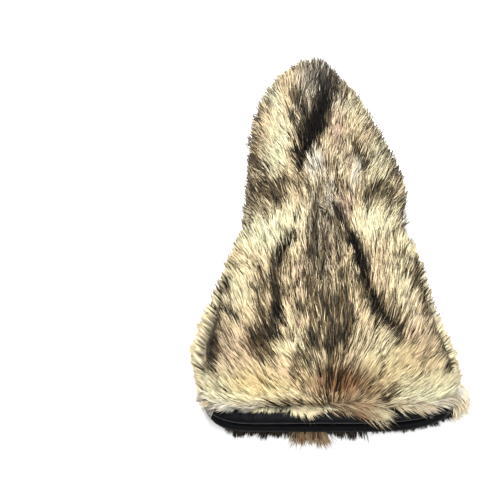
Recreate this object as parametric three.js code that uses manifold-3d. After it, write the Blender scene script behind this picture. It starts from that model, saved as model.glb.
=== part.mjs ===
// A long-haired fur gauntlet mitten that lies palm down, in millimetres.
// +Y runs from the mouth of the cuff to the fingertip, +X is the wearer's little-finger side, +Z is up.
// The fur is a thick coat with its outer form in locks, and every coat is one solid with its skin.
import * as THREE from "three";
import { mergeVertices } from "three/addons/utils/BufferGeometryUtils.js";
import Module from "manifold-3d";

const wasm = await Module();
wasm.setup();

// Driving dimensions
const SKIN = 2; // tanned skin under the fur
const LINING = 1.8; // black cloth lining
const GAP = 0.4; // air between neighbouring pieces
const WAIST_SHARE = 0.45; // height of the widest line, as a share of the skin's height
const ROUND = { top: 2.3, bottom: 3.4, coatBottom: 4.2 }; // superellipse powers, 2 is an ellipse
const PILE = { side: 6.5, top: 9, tip: 8 }; // dense fur over the skin, under the locks
const PRESSED_TO = -2; // the belly is drawn this far below the floor, and then cut flat on it
const TIP_ROWS = 3; // rows over which every layer rounds in to its end

// The skin's outline, a row for each section from the mouth to the fingertip.
// centre and half give its middle and half width, low and high its height, seam the height of the side seam,
// and bow how far its two ends reach back from the mouth, which is bowed out.
const SECTIONS = [
  { y: 0, centre: 6, half: 122, low: 9, high: 45, seam: 36, bow: 16 },
  { y: 30, centre: 5, half: 124, low: 9, high: 45, seam: 37, bow: 11 },
  { y: 62, centre: 1, half: 124, low: 10, high: 48, seam: 38, bow: 5 },
  { y: 90, centre: -1.5, half: 115, low: 13, high: 51, seam: 38, bow: 1 },
  { y: 127, centre: -1, half: 100, low: 17, high: 52, seam: 38, bow: 0 },
  { y: 165, centre: 2, half: 88, low: 20, high: 53, seam: 37, bow: 0 },
  { y: 200, centre: 1.5, half: 74, low: 21, high: 54, seam: 36, bow: 0 },
  { y: 240, centre: 3.5, half: 72, low: 21, high: 55, seam: 36, bow: 0 },
  { y: 280, centre: -2.5, half: 62, low: 21, high: 54, seam: 35, bow: 0 },
  { y: 315, centre: -8, half: 51, low: 21, high: 51, seam: 34, bow: 0 },
  { y: 342, centre: -11, half: 37, low: 22, high: 47, seam: 33, bow: 0 },
  { y: 360, centre: -12, half: 23, low: 24, high: 42, seam: 33, bow: 0 },
  { y: 370, centre: -10, half: 11, low: 27, high: 38, seam: 32.5, bow: 0 },
  { y: 375, centre: -7, half: 0, low: 32.5, high: 32.5, seam: 32.5, bow: 0 },
];
const LAST = SECTIONS.length - 1;
const BOW_POWER = { right: 3, left: 7 }; // the bow is even on the right, and turns up sharply on the left

// Mouth of the cuff
const EDGE_Y = 1; // where the skin and the lining end
const PILE_START = 10.6; // bare skin up to here, under the binding
const PILE_FULL = 16; // the fur has its full depth from here

// The rolled leather binding, a folded strip round the skin's and the lining's edges
const BINDING = { front: -4, back: 9.5, slotFloor: 0.6, wall: 1.9 };

// The thumb, a flattened bag that lies under the palm
const THUMB = { x: -36, y: 188, power: 2.6 }; // where its heel is sewn on
const THUMB_OUTSIDE = [
  { y: 0, half: 0, low: 8, high: 8 },
  { y: 3, half: 13, low: 0, high: 15 },
  { y: 14, half: 22, low: -2, high: 18 },
  { y: 40, half: 25, low: -2, high: 18 },
  { y: 68, half: 23, low: -2, high: 18 },
  { y: 86, half: 16, low: -2, high: 16.5 },
  { y: 94, half: 8, low: 2, high: 13 },
  { y: 96, half: 0, low: 8, high: 8 },
];
const THUMB_INSIDE = [
  { y: 8, half: 0, low: 9, high: 9 },
  { y: 10, half: 10, low: 4.5, high: 13.5 },
  { y: 18, half: 16, low: 3.8, high: 14.2 },
  { y: 40, half: 19, low: 3.8, high: 14.2 },
  { y: 66, half: 17, low: 3.8, high: 14.2 },
  { y: 79, half: 11, low: 4.8, high: 13 },
  { y: 86, half: 0, low: 9, high: 9 },
];
const THUMB_HOLE = { y: 28, halfX: 12, halfY: 15, from: 10, to: 34 };
const THUMB_ROOM = { side: 0.8, top: 0.6 }; // air that the palm leaves round the thumb

// Locks of fur, in staggered rows
const LOCK = { length: 36, width: 14, thick: 6.5, root: 3, shoulder: 0.35, liftDeg: 15 };
const LOCK_ROW_STEP = 24;
const LOCK_STEP = 23;
const SPLAY_DEG = 38; // how far the fur leans out from +Y at the sides
const CUFF_TURN = { deg: 46, fade: 24, middle: 0.3 };
const OUTWARD = { most: 0.34, atCuff: 0.32, fade: 22 }; // how far a lock leans off the side, as a sine
const FRINGE = { from: -44, to: 92, step: 17, y: 19, lean: 0.45, length: 0.86, liftDeg: 12 }; // over the binding
const TUFTS = { from: -33, to: 3, step: 12, y: 15, z: 5.5, lean: 0, length: 1, liftDeg: 0 }; // under it

// Facets
const FINE = 0.12; // slivers thinner than this are merged
const AROUND = 28;
const STEPS_ALONG = 16;

// Seeded noise, the same on each run
let noiseState = 7;
function noise() {
  noiseState = (noiseState * 16807) % 2147483647;
  return noiseState / 2147483647;
}
const vary = (size) => size * (2 * noise() - 1);

// A smooth curve through the rows of a table: Catmull-Rom on the row's number.
function rowAt(table, s) {
  const last = table.length - 1;
  const i = Math.min(Math.floor(s), last - 1);
  const u = s - i;
  const found = {};
  for (const name of Object.keys(table[0])) {
    const v = (k) => table[Math.min(Math.max(k, 0), last)][name];
    const leave = i > 0 ? (v(i + 1) - v(i - 1)) / 2 : v(i + 1) - v(i);
    const arrive = i + 2 <= last ? (v(i + 2) - v(i)) / 2 : v(i + 1) - v(i);
    found[name] =
      v(i) * (2 * u ** 3 - 3 * u ** 2 + 1) +
      leave * (u ** 3 - 2 * u ** 2 + u) +
      v(i + 1) * (3 * u ** 2 - 2 * u ** 3) +
      arrive * (u ** 3 - u ** 2);
  }
  return found;
}

// The row number at a given y, by halving.
function rowNumberAt(table, y) {
  let low = 0;
  let high = table.length - 1;
  for (let k = 0; k < 30; k++) {
    const middle = (low + high) / 2;
    if (rowAt(table, middle).y < y) low = middle;
    else high = middle;
  }
  return low;
}

// A point on a superellipse: half width a, half height b, power p.
function superellipse(angle, a, b, p) {
  const bend = (v) => Math.sign(v) * Math.abs(v) ** (2 / p);
  return [a * bend(Math.cos(angle)), b * bend(Math.sin(angle))];
}

const seamHeight = (row) => row.seam;
const waistHeight = (row) => row.low + WAIST_SHARE * (row.high - row.low);

// How much of its thickness a layer keeps, and how far along the rounded end it is, at row number s.
function tipRounding(s) {
  const q = Math.min(Math.max((s - (LAST - TIP_ROWS)) / TIP_ROWS, 0), 1);
  return { keep: Math.sqrt(1 - q * q), end: q * q };
}

// A point of a layer over the skin. grow moves the skin's outline out at the side, top, bottom and tip.
function layerPoint(s, angle, grow) {
  const row = rowAt(SECTIONS, s);
  const { keep, end } = tipRounding(s);
  const waist = waistHeight(row);
  const top = row.high + grow.top * keep - waist;
  const bottom = waist - row.low + grow.bottom(row) * keep;
  const upper = Math.sin(angle) >= 0;
  const power = upper ? ROUND.top : (grow.bottomPower ?? ROUND.bottom);
  const [x, z] = superellipse(angle, row.half + grow.side * keep, upper ? top : bottom, power);
  const side = Math.abs(Math.cos(angle)) ** (Math.cos(angle) > 0 ? BOW_POWER.right : BOW_POWER.left);
  return new THREE.Vector3(row.centre + x, row.y + row.bow * side + grow.tip * end, waist + z);
}

const evenLayer = (by) => ({ side: by, top: by, tip: by, bottom: () => by });
const SKIN_OUTSIDE = evenLayer(0);
const SKIN_INSIDE = evenLayer(-SKIN);
const LINING_OUTSIDE = evenLayer(-SKIN - GAP);
const LINING_INSIDE = evenLayer(-SKIN - GAP - LINING);
const COAT_OUTSIDE = { ...PILE, bottom: (row) => row.low - PRESSED_TO, bottomPower: ROUND.coatBottom };

function ring(s, grow) {
  return Array.from({ length: AROUND }, (_, k) => layerPoint(s, (2 * Math.PI * k) / AROUND, grow));
}

// A ring of a layer at a given y. One that is in front of the first section is carried out level with it.
function ringAt(y, grow) {
  const inFront = Math.min(y, 0);
  return ring(rowNumberAt(SECTIONS, y), grow).map((p) => p.setY(p.y + inFront));
}

// Joins rings of points into one closed surface. A ring of one point is a pole, and the last ring meets the first.
function surfaceOf(rings) {
  const points = rings.flat();
  const starts = [];
  let count = 0;
  for (const r of rings) {
    starts.push(count);
    count += r.length;
  }
  const triangles = [];
  rings.forEach((here, k) => {
    const next = (k + 1) % rings.length;
    const there = rings[next];
    const around = Math.max(here.length, there.length);
    for (let j = 0; around > 1 && j < around; j++) {
      const i = (j + 1) % around;
      const a = starts[k] + (j % here.length);
      const b = starts[k] + (i % here.length);
      const c = starts[next] + (j % there.length);
      const d = starts[next] + (i % there.length);
      if (here.length > 1) triangles.push(a, b, d);
      if (there.length > 1) triangles.push(a, d, c);
    }
  });
  const geometry = new THREE.BufferGeometry().setFromPoints(points);
  geometry.setIndex(triangles);
  return geometry;
}

// A three.js geometry as a solid for joining and cutting, turned right way out.
function solid(geometry) {
  const bare = geometry.clone();
  bare.deleteAttribute("normal");
  bare.deleteAttribute("uv");
  const merged = mergeVertices(bare, 1e-4);
  const mesh = () =>
    new wasm.Mesh({
      numProp: 3,
      vertProperties: new Float32Array(merged.attributes.position.array),
      triVerts: new Uint32Array(merged.index.array),
    });
  const made = new wasm.Manifold(mesh());
  if (made.volume() > 0) return made;
  const index = merged.index.array;
  for (let i = 0; i < index.length; i += 3) [index[i + 1], index[i + 2]] = [index[i + 2], index[i + 1]];
  return new wasm.Manifold(mesh());
}

// The biggest body of a cut, without the loose ends of locks that the cut leaves.
function biggest(cut) {
  return cut.decompose().reduce((best, body) => (body.volume() > best.volume() ? body : best));
}

function meshOf(name, body, material) {
  const data = body.getMesh();
  const geometry = new THREE.BufferGeometry();
  geometry.setAttribute("position", new THREE.BufferAttribute(new Float32Array(data.vertProperties), 3));
  geometry.setIndex(new THREE.BufferAttribute(new Uint32Array(data.triVerts), 1));
  geometry.computeVertexNormals();
  const mesh = new THREE.Mesh(geometry, material);
  mesh.name = name;
  return mesh;
}

// A sack of one layer, closed flat across its mouth: the mouth's middle, rings along it, and the tip.
function sack(grow, rings) {
  const mouth = new THREE.Vector3(SECTIONS[0].centre, rings[0][0].y, (SECTIONS[0].low + SECTIONS[0].high) / 2);
  return solid(surfaceOf([[mouth], ...rings, [layerPoint(LAST, 0, grow)]]));
}

// Rings of a layer at even steps of the row number, from a given y to the tip.
function ringsFrom(y, grow) {
  const first = rowNumberAt(SECTIONS, y);
  return Array.from({ length: STEPS_ALONG }, (_, k) => ring(first + ((LAST - first) * k) / STEPS_ALONG, grow));
}

// The room inside a layer, carried on out through the mouth.
function roomInside(grow) {
  return sack(grow, [ringAt(EDGE_Y - 20, grow), ...ringsFrom(EDGE_Y, grow)]);
}

// The outside of the fur coat: bare skin at the mouth, then its full depth.
function coatOutside() {
  const bareSkin = [EDGE_Y, PILE_START].map((y) => ringAt(y, SKIN_OUTSIDE));
  return sack(COAT_OUTSIDE, [...bareSkin, ...ringsFrom(PILE_FULL, COAT_OUTSIDE)]);
}

// The room that the binding needs, kept clear of locks.
function bindingRoom() {
  const layer = evenLayer(GAP + BINDING.wall + GAP);
  const ends = [BINDING.front - 30, BINDING.back + GAP];
  const rings = ends.map((y) => ringAt(y, layer));
  const middles = ends.map((y) => [new THREE.Vector3(SECTIONS[0].centre, y, SECTIONS[0].seam / 2)]);
  return solid(surfaceOf([middles[0], ...rings, middles[1]]));
}

// The way the fur lies, seen from above: towards the fingertip, and out from the middle.
// At the cuff it turns further out, until it lies along the edge.
function flowAt(x, y) {
  const row = rowAt(SECTIONS, rowNumberAt(SECTIONS, y));
  const across = THREE.MathUtils.clamp((x - row.centre) / (row.half + PILE.side), -1, 1);
  const atCuff = CUFF_TURN.deg * Math.exp(-(y - PILE_START) / CUFF_TURN.fade);
  const turn = SPLAY_DEG * across + atCuff * THREE.MathUtils.clamp(across / CUFF_TURN.middle, -1, 1);
  const angle = THREE.MathUtils.degToRad(turn);
  return new THREE.Vector3(Math.sin(angle), Math.cos(angle), 0);
}

// One lock: a flat spindle with a broad shoulder near its root and a fine tip.
function lock(root, normal, flow, scale = 1, liftDeg = LOCK.liftDeg) {
  const size = scale * (1 + vary(0.18));
  const lift = Math.sin(THREE.MathUtils.degToRad(liftDeg + vary(4)));
  const most = OUTWARD.most + OUTWARD.atCuff * Math.exp(-Math.max(root.y, 0) / OUTWARD.fade);
  const away = THREE.MathUtils.clamp(flow.dot(normal), lift, most);
  const lying = flow.clone().addScaledVector(normal, -flow.dot(normal)).normalize();
  const ahead = lying.clone().multiplyScalar(Math.sqrt(1 - away * away)).addScaledVector(normal, away);
  const across = new THREE.Vector3().crossVectors(normal, ahead).normalize();
  const up = new THREE.Vector3().crossVectors(ahead, across).normalize();
  const base = root.clone().addScaledVector(normal, -LOCK.root);
  const shoulder = base.clone().addScaledVector(ahead, LOCK.length * LOCK.shoulder * size);
  const off = (direction, by) => shoulder.clone().addScaledVector(direction, by * size);
  const girdle = [
    off(across, LOCK.width / 2),
    off(up, LOCK.thick / 2),
    off(across, -LOCK.width / 2),
    off(up, -LOCK.thick / 2),
  ];
  const tip = base.clone().addScaledVector(ahead, LOCK.length * size);
  return solid(surfaceOf([[base], girdle, [tip]]));
}

// Locks over the part of the coat between two angles, row by row, each row shifted by half a step.
function locksBetween(fromDeg, toDeg, firstY, lastY) {
  const locks = [];
  let odd = 0;
  for (let y = firstY; y < lastY; y += LOCK_ROW_STEP) {
    const s = rowNumberAt(SECTIONS, y);
    const steps = 60;
    const angles = Array.from({ length: steps + 1 }, (_, k) =>
      THREE.MathUtils.degToRad(fromDeg + ((toDeg - fromDeg) * k) / steps),
    );
    let travelled = odd ? LOCK_STEP / 2 : 0;
    for (let k = 0; k < steps; k++) {
      const here = layerPoint(s, angles[k], COAT_OUTSIDE);
      const there = layerPoint(s, angles[k + 1], COAT_OUTSIDE);
      travelled += here.distanceTo(there);
      if (travelled < LOCK_STEP) continue;
      travelled -= LOCK_STEP;
      const ahead = layerPoint(Math.min(s + 0.05, LAST), angles[k], COAT_OUTSIDE).sub(here);
      const normal = there.clone().sub(here).cross(ahead).normalize();
      locks.push(lock(here, normal, flowAt(here.x, here.y + vary(6))));
    }
    odd = 1 - odd;
  }
  return locks;
}

// A row of locks that hangs out over the edge of the cuff, at a given height or on top of the coat.
function fringe({ from, to, step, y, z, lean, length, liftDeg }) {
  const locks = [];
  const s = rowNumberAt(SECTIONS, y);
  const { centre, half } = rowAt(SECTIONS, s);
  for (let x = from; x <= to; x += step) {
    const root = layerPoint(s, Math.acos((x - centre) / (half + PILE.side)), COAT_OUTSIDE);
    root.z = z ?? root.z;
    const flow = new THREE.Vector3(lean + vary(0.15), -1, 0).normalize();
    locks.push(lock(root, new THREE.Vector3(0, 0, 1), flow, length, liftDeg));
  }
  return locks;
}

// Everything above or below a seam along the sides, as a slab with the seam's profile.
function besideSeam(heightOf, above) {
  const far = 300;
  const outline = [
    new THREE.Vector2(-far, heightOf(SECTIONS[0])),
    ...SECTIONS.map((row) => new THREE.Vector2(row.y, heightOf(row))),
    new THREE.Vector2(2 * far, heightOf(SECTIONS[LAST])),
  ];
  const shift = above ? GAP / 2 : -GAP / 2;
  const level = above ? far : -far;
  const shape = new THREE.Shape([
    ...outline.map((p) => new THREE.Vector2(p.x, p.y + shift)),
    new THREE.Vector2(2 * far, level),
    new THREE.Vector2(-far, level),
  ]);
  const slab = new THREE.ExtrudeGeometry(shape, { depth: 2 * far, bevelEnabled: false });
  slab.translate(0, 0, -far);
  const alongX = new THREE.Matrix4().makeBasis(
    new THREE.Vector3(0, 1, 0),
    new THREE.Vector3(0, 0, 1),
    new THREE.Vector3(1, 0, 0),
  );
  return solid(slab.applyMatrix4(alongX));
}

function aboveFloor() {
  const size = 1200;
  return solid(new THREE.BoxGeometry(size, size, size).translate(0, 0, size / 2));
}

// A small closed bag of the thumb's tables, grown by room on every side.
function thumbBag(table, room = { side: 0, top: 0 }) {
  const rows = table.map((row, k) => {
    const isPole = k === 0 || k === table.length - 1;
    const end = k === 0 ? -room.side : room.side;
    const middle = (row.low + row.high) / 2;
    if (isPole) return [new THREE.Vector3(0, row.y + end, middle)];
    return Array.from({ length: 16 }, (_, j) => {
      const angle = (2 * Math.PI * j) / 16;
      const [x, z] = superellipse(angle, row.half + room.side, row.high + room.top - middle, THUMB.power);
      return new THREE.Vector3(x, row.y, middle + z);
    });
  });
  return solid(surfaceOf(rows));
}

function thumbHole() {
  const hole = new THREE.CylinderGeometry(1, 1, THUMB_HOLE.to - THUMB_HOLE.from, 16);
  hole.rotateX(Math.PI / 2);
  hole.scale(THUMB_HOLE.halfX, THUMB_HOLE.halfY, 1);
  hole.translate(0, THUMB_HOLE.y, (THUMB_HOLE.from + THUMB_HOLE.to) / 2);
  return solid(hole);
}

// Carries a thumb solid from its own frame to its place under the palm.
function placeThumb(body) {
  return body.translate([THUMB.x, THUMB.y, 0]);
}

// The binding: a folded strip carried round the mouth, open towards the skin and the lining.
function binding() {
  const outside = GAP + BINDING.wall;
  const inside = -SKIN - GAP - LINING - GAP - BINDING.wall;
  const middle = (outside + inside) / 2;
  const nose = (outside - inside) / 2;
  const profile = [
    [BINDING.back, outside],
    [BINDING.front + nose, outside],
    [BINDING.front + nose * 0.3, middle + nose * 0.7],
    [BINDING.front, middle],
    [BINDING.front + nose * 0.3, middle - nose * 0.7],
    [BINDING.front + nose, inside],
    [BINDING.back, inside],
    [BINDING.back, inside + BINDING.wall],
    [BINDING.slotFloor, inside + BINDING.wall],
    [BINDING.slotFloor, outside - BINDING.wall],
    [BINDING.back, outside - BINDING.wall],
  ];
  const rings = profile.map(([y, out]) => ringAt(y, evenLayer(out)));
  return solid(surfaceOf(rings));
}

// The pieces
const floor = aboveFloor();
const coat = coatOutside();
const skinRoom = roomInside(SKIN_INSIDE);
const hole = placeThumb(thumbHole());

const clearEdge = bindingRoom();

const topLocks = [...locksBetween(2, 178, 26, 356), ...fringe(FRINGE)];
const backLocks = wasm.Manifold.union(topLocks).subtract(clearEdge);
const backCoat = coat.add(backLocks).subtract(skinRoom).intersect(besideSeam(seamHeight, true));

const sideLocks = [...locksBetween(-52, 20, 26, 350), ...locksBetween(160, 232, 26, 350)];
const palmLocks = wasm.Manifold.union([...sideLocks, ...fringe(TUFTS)]).subtract(clearEdge);
const thumbRoom = placeThumb(thumbBag(THUMB_OUTSIDE, THUMB_ROOM));
const palmCoat = coat
  .add(palmLocks)
  .subtract(skinRoom)
  .intersect(besideSeam(seamHeight, false))
  .intersect(floor)
  .subtract(thumbRoom)
  .subtract(hole);

const thumbBody = placeThumb(thumbBag(THUMB_OUTSIDE).subtract(thumbBag(THUMB_INSIDE)));
const thumbCoat = thumbBody.intersect(floor).subtract(hole);

const liningOutside = sack(LINING_OUTSIDE, ringsFrom(EDGE_Y, LINING_OUTSIDE));
const lining = liningOutside.subtract(roomInside(LINING_INSIDE)).subtract(hole);
const liningPanel = (above) => lining.intersect(besideSeam(waistHeight, above)).simplify(FINE);

// Finishes
const furTop = new THREE.MeshStandardMaterial({ color: 0xc4ad84, roughness: 0.9, metalness: 0 });
const furPalm = new THREE.MeshStandardMaterial({ color: 0xcdb891, roughness: 0.9, metalness: 0 });
const blackCloth = new THREE.MeshStandardMaterial({ color: 0x121214, roughness: 0.95, metalness: 0 });
const blackLeather = new THREE.MeshStandardMaterial({ color: 0x16171a, roughness: 0.45, metalness: 0 });

const mitten = new THREE.Group();
mitten.add(
  meshOf("back_coat", biggest(backCoat).simplify(FINE), furTop),
  meshOf("palm_coat", biggest(palmCoat).simplify(FINE), furPalm),
  meshOf("thumb_coat", thumbCoat, furPalm),
  meshOf("lining_back", liningPanel(true), blackCloth),
  meshOf("lining_palm", liningPanel(false), blackCloth),
  meshOf("cuff_binding", binding(), blackLeather),
);

// The origin is the bottom centre of the box round the whole mitten.
const box = new THREE.Box3().setFromObject(mitten);
const middle = box.getCenter(new THREE.Vector3());
mitten.position.set(-middle.x, -middle.y, -box.min.z);

export default mitten;
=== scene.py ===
# %% [markdown]
# # A long-haired fur gauntlet mitten
# The real mitten is a bag of two pelts, sewn together along its sides, with the fur outside, a black
# cloth lining inside and a strip of black leather folded round the edge of its cuff.
# This lesson dresses the imported solids: it grows hair on the two pelts and finishes the leather and
# the cloth. All measures are in millimetres until they go into Blender objects, where they become metres.

# %% Load the imported solids
import math

import bpy
import numpy as np
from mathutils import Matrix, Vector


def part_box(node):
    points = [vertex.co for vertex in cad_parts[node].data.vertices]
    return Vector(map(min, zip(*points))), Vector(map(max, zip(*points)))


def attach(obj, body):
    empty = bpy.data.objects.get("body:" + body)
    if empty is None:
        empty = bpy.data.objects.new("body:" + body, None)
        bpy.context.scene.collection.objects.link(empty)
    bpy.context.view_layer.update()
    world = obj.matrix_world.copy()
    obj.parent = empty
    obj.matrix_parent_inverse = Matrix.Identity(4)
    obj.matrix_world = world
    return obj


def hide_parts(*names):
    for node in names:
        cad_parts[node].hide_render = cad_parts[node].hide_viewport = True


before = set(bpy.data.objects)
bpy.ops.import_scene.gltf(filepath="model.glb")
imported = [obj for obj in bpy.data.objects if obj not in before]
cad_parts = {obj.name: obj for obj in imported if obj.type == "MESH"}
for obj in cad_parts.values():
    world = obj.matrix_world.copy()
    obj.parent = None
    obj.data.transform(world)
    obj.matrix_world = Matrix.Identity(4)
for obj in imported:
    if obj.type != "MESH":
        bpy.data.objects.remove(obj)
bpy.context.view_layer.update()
MM = 0.001
rng = np.random.default_rng(41)
print("solids:", sorted(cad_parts))

# %% [markdown]
# ## The pattern of the skin
# A mitten maker cuts the skin to a pattern, and everything else follows it. The pattern here is a
# short table with a row for each section from the mouth to the fingertip. A smooth curve goes through
# the rows of each column, so a section can be asked for anywhere. The solids were drawn from the same
# table, so the hair stands exactly on them. The thumb's solid shows where the table's origin lies.

# %% The table of sections
#                     y  centre half  low  high  seam  bow
SECTIONS = np.array([
    [0.0, 6.0, 122.0, 9.0, 45.0, 36.0, 16.0],
    [30.0, 5.0, 124.0, 9.0, 45.0, 37.0, 11.0],
    [62.0, 1.0, 124.0, 10.0, 48.0, 38.0, 5.0],
    [90.0, -1.5, 115.0, 13.0, 51.0, 38.0, 1.0],
    [127.0, -1.0, 100.0, 17.0, 52.0, 38.0, 0.0],
    [165.0, 2.0, 88.0, 20.0, 53.0, 37.0, 0.0],
    [200.0, 1.5, 74.0, 21.0, 54.0, 36.0, 0.0],
    [240.0, 3.5, 72.0, 21.0, 55.0, 36.0, 0.0],
    [280.0, -2.5, 62.0, 21.0, 54.0, 35.0, 0.0],
    [315.0, -8.0, 51.0, 21.0, 51.0, 34.0, 0.0],
    [342.0, -11.0, 37.0, 22.0, 47.0, 33.0, 0.0],
    [360.0, -12.0, 23.0, 24.0, 42.0, 33.0, 0.0],
    [370.0, -10.0, 11.0, 27.0, 38.0, 32.5, 0.0],
    [375.0, -7.0, 0.0, 32.5, 32.5, 32.5, 0.0],
])
Y, CENTRE, HALF, LOW, HIGH, SEAM, BOW = range(7)
LAST = len(SECTIONS) - 1
WAIST_SHARE = 0.45
TIP_ROWS = 3
BOW_POWER_RIGHT, BOW_POWER_LEFT = 3, 7

thumb_low, thumb_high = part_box("thumb_coat")
THUMB_X, THUMB_Y, THUMB_POWER = -36.0, 188.0, 2.6
#     y  half low  high
THUMB = np.array([
    [0.0, 0.0, 8.0, 8.0],
    [3.0, 13.0, 0.0, 15.0],
    [14.0, 22.0, -2.0, 18.0],
    [40.0, 25.0, -2.0, 18.0],
    [68.0, 23.0, -2.0, 18.0],
    [86.0, 16.0, -2.0, 16.5],
    [94.0, 8.0, 2.0, 13.0],
    [96.0, 0.0, 8.0, 8.0],
])
shift_x = (thumb_low.x + thumb_high.x) / 2 / MM - THUMB_X
shift_y = thumb_low.y / MM - THUMB_Y
SHIFT = np.array([shift_x, shift_y, 0.0])
print("the table's origin lies at", SHIFT.round(2), "mm")


def section(row):
    """All columns at row numbers that may lie between rows: a cubic through four neighbouring rows,
    whose slope at each row is half the difference of its neighbours."""
    i = np.clip(np.floor(row).astype(int), 0, LAST - 1)
    u = (row - i)[..., None]
    here, there = SECTIONS[i], SECTIONS[i + 1]
    before, after = SECTIONS[np.maximum(i - 1, 0)], SECTIONS[np.minimum(i + 2, LAST)]
    leave = np.where((i > 0)[..., None], (there - before) / 2, there - here)
    arrive = np.where((i + 2 <= LAST)[..., None], (after - here) / 2, there - here)
    return (
        here * (2 * u**3 - 3 * u**2 + 1)
        + leave * (u**3 - 2 * u**2 + u)
        + there * (3 * u**2 - 2 * u**3)
        + arrive * (u**3 - u**2)
    )


FINE_ROWS = np.linspace(0, LAST, 2600)
FINE_SECTIONS = section(FINE_ROWS)


def row_at(y):
    """Row number of the section at y, read from a fine table of the curve."""
    return np.interp(y, FINE_SECTIONS[:, Y], FINE_ROWS)


# %% [markdown]
# ## Layers over the skin
# Each layer is the skin's section moved out by so much at the side and at the top. A section is a
# superellipse, which is an ellipse with fuller corners. The belly is drawn down to the floor and is
# flat there, because the mitten's weight presses its fur.

# %% A point of a layer
ROUND_TOP, ROUND_BOTTOM, ROUND_BELLY = 2.3, 3.4, 4.2
BELOW_FLOOR = 2


def unit(v):
    """Arrows of length 1: each arrow divided by its own length."""
    return v / np.maximum(np.linalg.norm(v, axis=-1, keepdims=True), 1e-9)


def bend(v, power):
    """A sine or cosine made fuller: its size to the power 2 / power, with its own sign."""
    return np.sign(v) * np.abs(v) ** (2 / power)


def waist_of(data):
    """Height of the widest line: a set share of the way from a section's low to its high."""
    return data[..., LOW] + WAIST_SHARE * (data[..., HIGH] - data[..., LOW])


def tip_fade(row):
    """How far along the rounded end a row is, and the depth a layer keeps there: a quarter circle."""
    q = np.clip((row - (LAST - TIP_ROWS)) / TIP_ROWS, 0, 1)
    return q, np.sqrt(1 - q * q)


def layer(row, angle, side, top, tip, bottom=None):
    """Superellipse of half width 'half + side' about the waist line, 'top' higher than the skin and
    'bottom' lower than it. Without a bottom it reaches just below the floor and is cut flat on it.
    The layer's extra depth fades over the last rows, and runs out past the tip."""
    data = section(row)
    q, keep = tip_fade(row)
    waist = waist_of(data)
    up = data[..., HIGH] + top * keep - waist
    if bottom is None:
        down, power = waist - data[..., LOW] + (data[..., LOW] + BELOW_FLOOR) * keep, ROUND_BELLY
    else:
        down, power = waist - data[..., LOW] + bottom * keep, ROUND_BOTTOM
    upper = np.sin(angle) >= 0
    power = np.where(upper, ROUND_TOP, power)
    x = data[..., CENTRE] + (data[..., HALF] + side * keep) * bend(np.cos(angle), power)
    z = waist + np.where(upper, up, down) * bend(np.sin(angle), power)
    bow_power = np.where(np.cos(angle) > 0, BOW_POWER_RIGHT, BOW_POWER_LEFT)
    y = data[..., Y] + data[..., BOW] * np.abs(np.cos(angle)) ** bow_power + tip * q * q
    return np.stack([x, y, np.maximum(z, 0)], -1)


# %% [markdown]
# ## Turning arrays into Blender meshes
# Every piece below ends as an array of points and an array of faces. One helper puts them into a mesh
# with foreach_set, which is many times faster than adding faces one by one.

# %% Mesh helper
TRIANGLES = {}


def signed_volume(points, faces):
    """Sum of the small pyramids between the origin and each face: above nothing when they face out."""
    fans = [(f[:, 0], f[:, k], f[:, k + 1]) for f in faces for k in range(1, f.shape[1] - 1)]
    return sum((points[a] * np.cross(points[b], points[c])).sum() for a, b, c in fans) / 6


def new_piece(name, points, faces, material, colours=None, replaces=()):
    """A mesh object from points in mm, one in each row, and from lists of faces with 3 or 4 corners.
    The faces are turned round when they don't point out."""
    mesh = bpy.data.meshes.new(name)
    points = (points + SHIFT) * MM
    faces = [f for f in faces if len(f)]
    if signed_volume(points, faces) < 0:
        faces = [f[:, ::-1] for f in faces]
    corners = np.concatenate([f.ravel() for f in faces]).astype(np.int32)
    totals = np.concatenate([np.full(len(f), f.shape[1]) for f in faces]).astype(np.int32)
    starts = np.concatenate([[0], np.cumsum(totals)[:-1]]).astype(np.int32)
    mesh.vertices.add(len(points))
    mesh.vertices.foreach_set("co", points.astype(np.float32).ravel())
    mesh.loops.add(len(corners))
    mesh.loops.foreach_set("vertex_index", corners)
    mesh.polygons.add(len(totals))
    mesh.polygons.foreach_set("loop_start", starts)
    mesh.polygons.foreach_set("loop_total", totals)
    mesh.polygons.foreach_set("use_smooth", np.ones(len(totals), bool))
    mesh.update(calc_edges=True)
    mesh.validate()
    if colours is not None:
        attribute = mesh.attributes.new("fur_colour", "FLOAT_COLOR", "POINT")
        rgba = np.concatenate([colours, np.ones((len(colours), 1))], 1)
        attribute.data.foreach_set("color", rgba.astype(np.float32).ravel())
    piece = bpy.data.objects.new(name, mesh)
    bpy.context.scene.collection.objects.link(piece)
    mesh.materials.append(material)
    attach(piece, "root")
    if replaces:
        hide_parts(*replaces)
    TRIANGLES[name] = int((totals - 2).sum())
    print(f"{name}: {TRIANGLES[name]} triangles")


# %% [markdown]
# ## Colours
# Paint charts give colours as they look on a screen. The shader works with the strength of the light,
# so each colour is turned into that first.

# %% The fur's colours
def light_of(red, green, blue):
    """Screen colour from 0 to 255, as strengths of light from 0 to 1."""
    c = np.array([red, green, blue]) / 255
    return np.where(c <= 0.04045, c / 12.92, ((c + 0.055) / 1.055) ** 2.4)


CREAM = light_of(255, 247, 207)
WHITE = light_of(254, 252, 240)
BEIGE = light_of(243, 221, 180)
PINK = light_of(235, 205, 178)
SILVER = light_of(206, 200, 186)
GOLD = light_of(252, 228, 172)
BROWN = light_of(146, 106, 70)
GREY_BROWN = light_of(112, 100, 84)
BLACK = light_of(10, 9, 8)
DEEP_BROWN = light_of(54, 46, 38)
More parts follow.
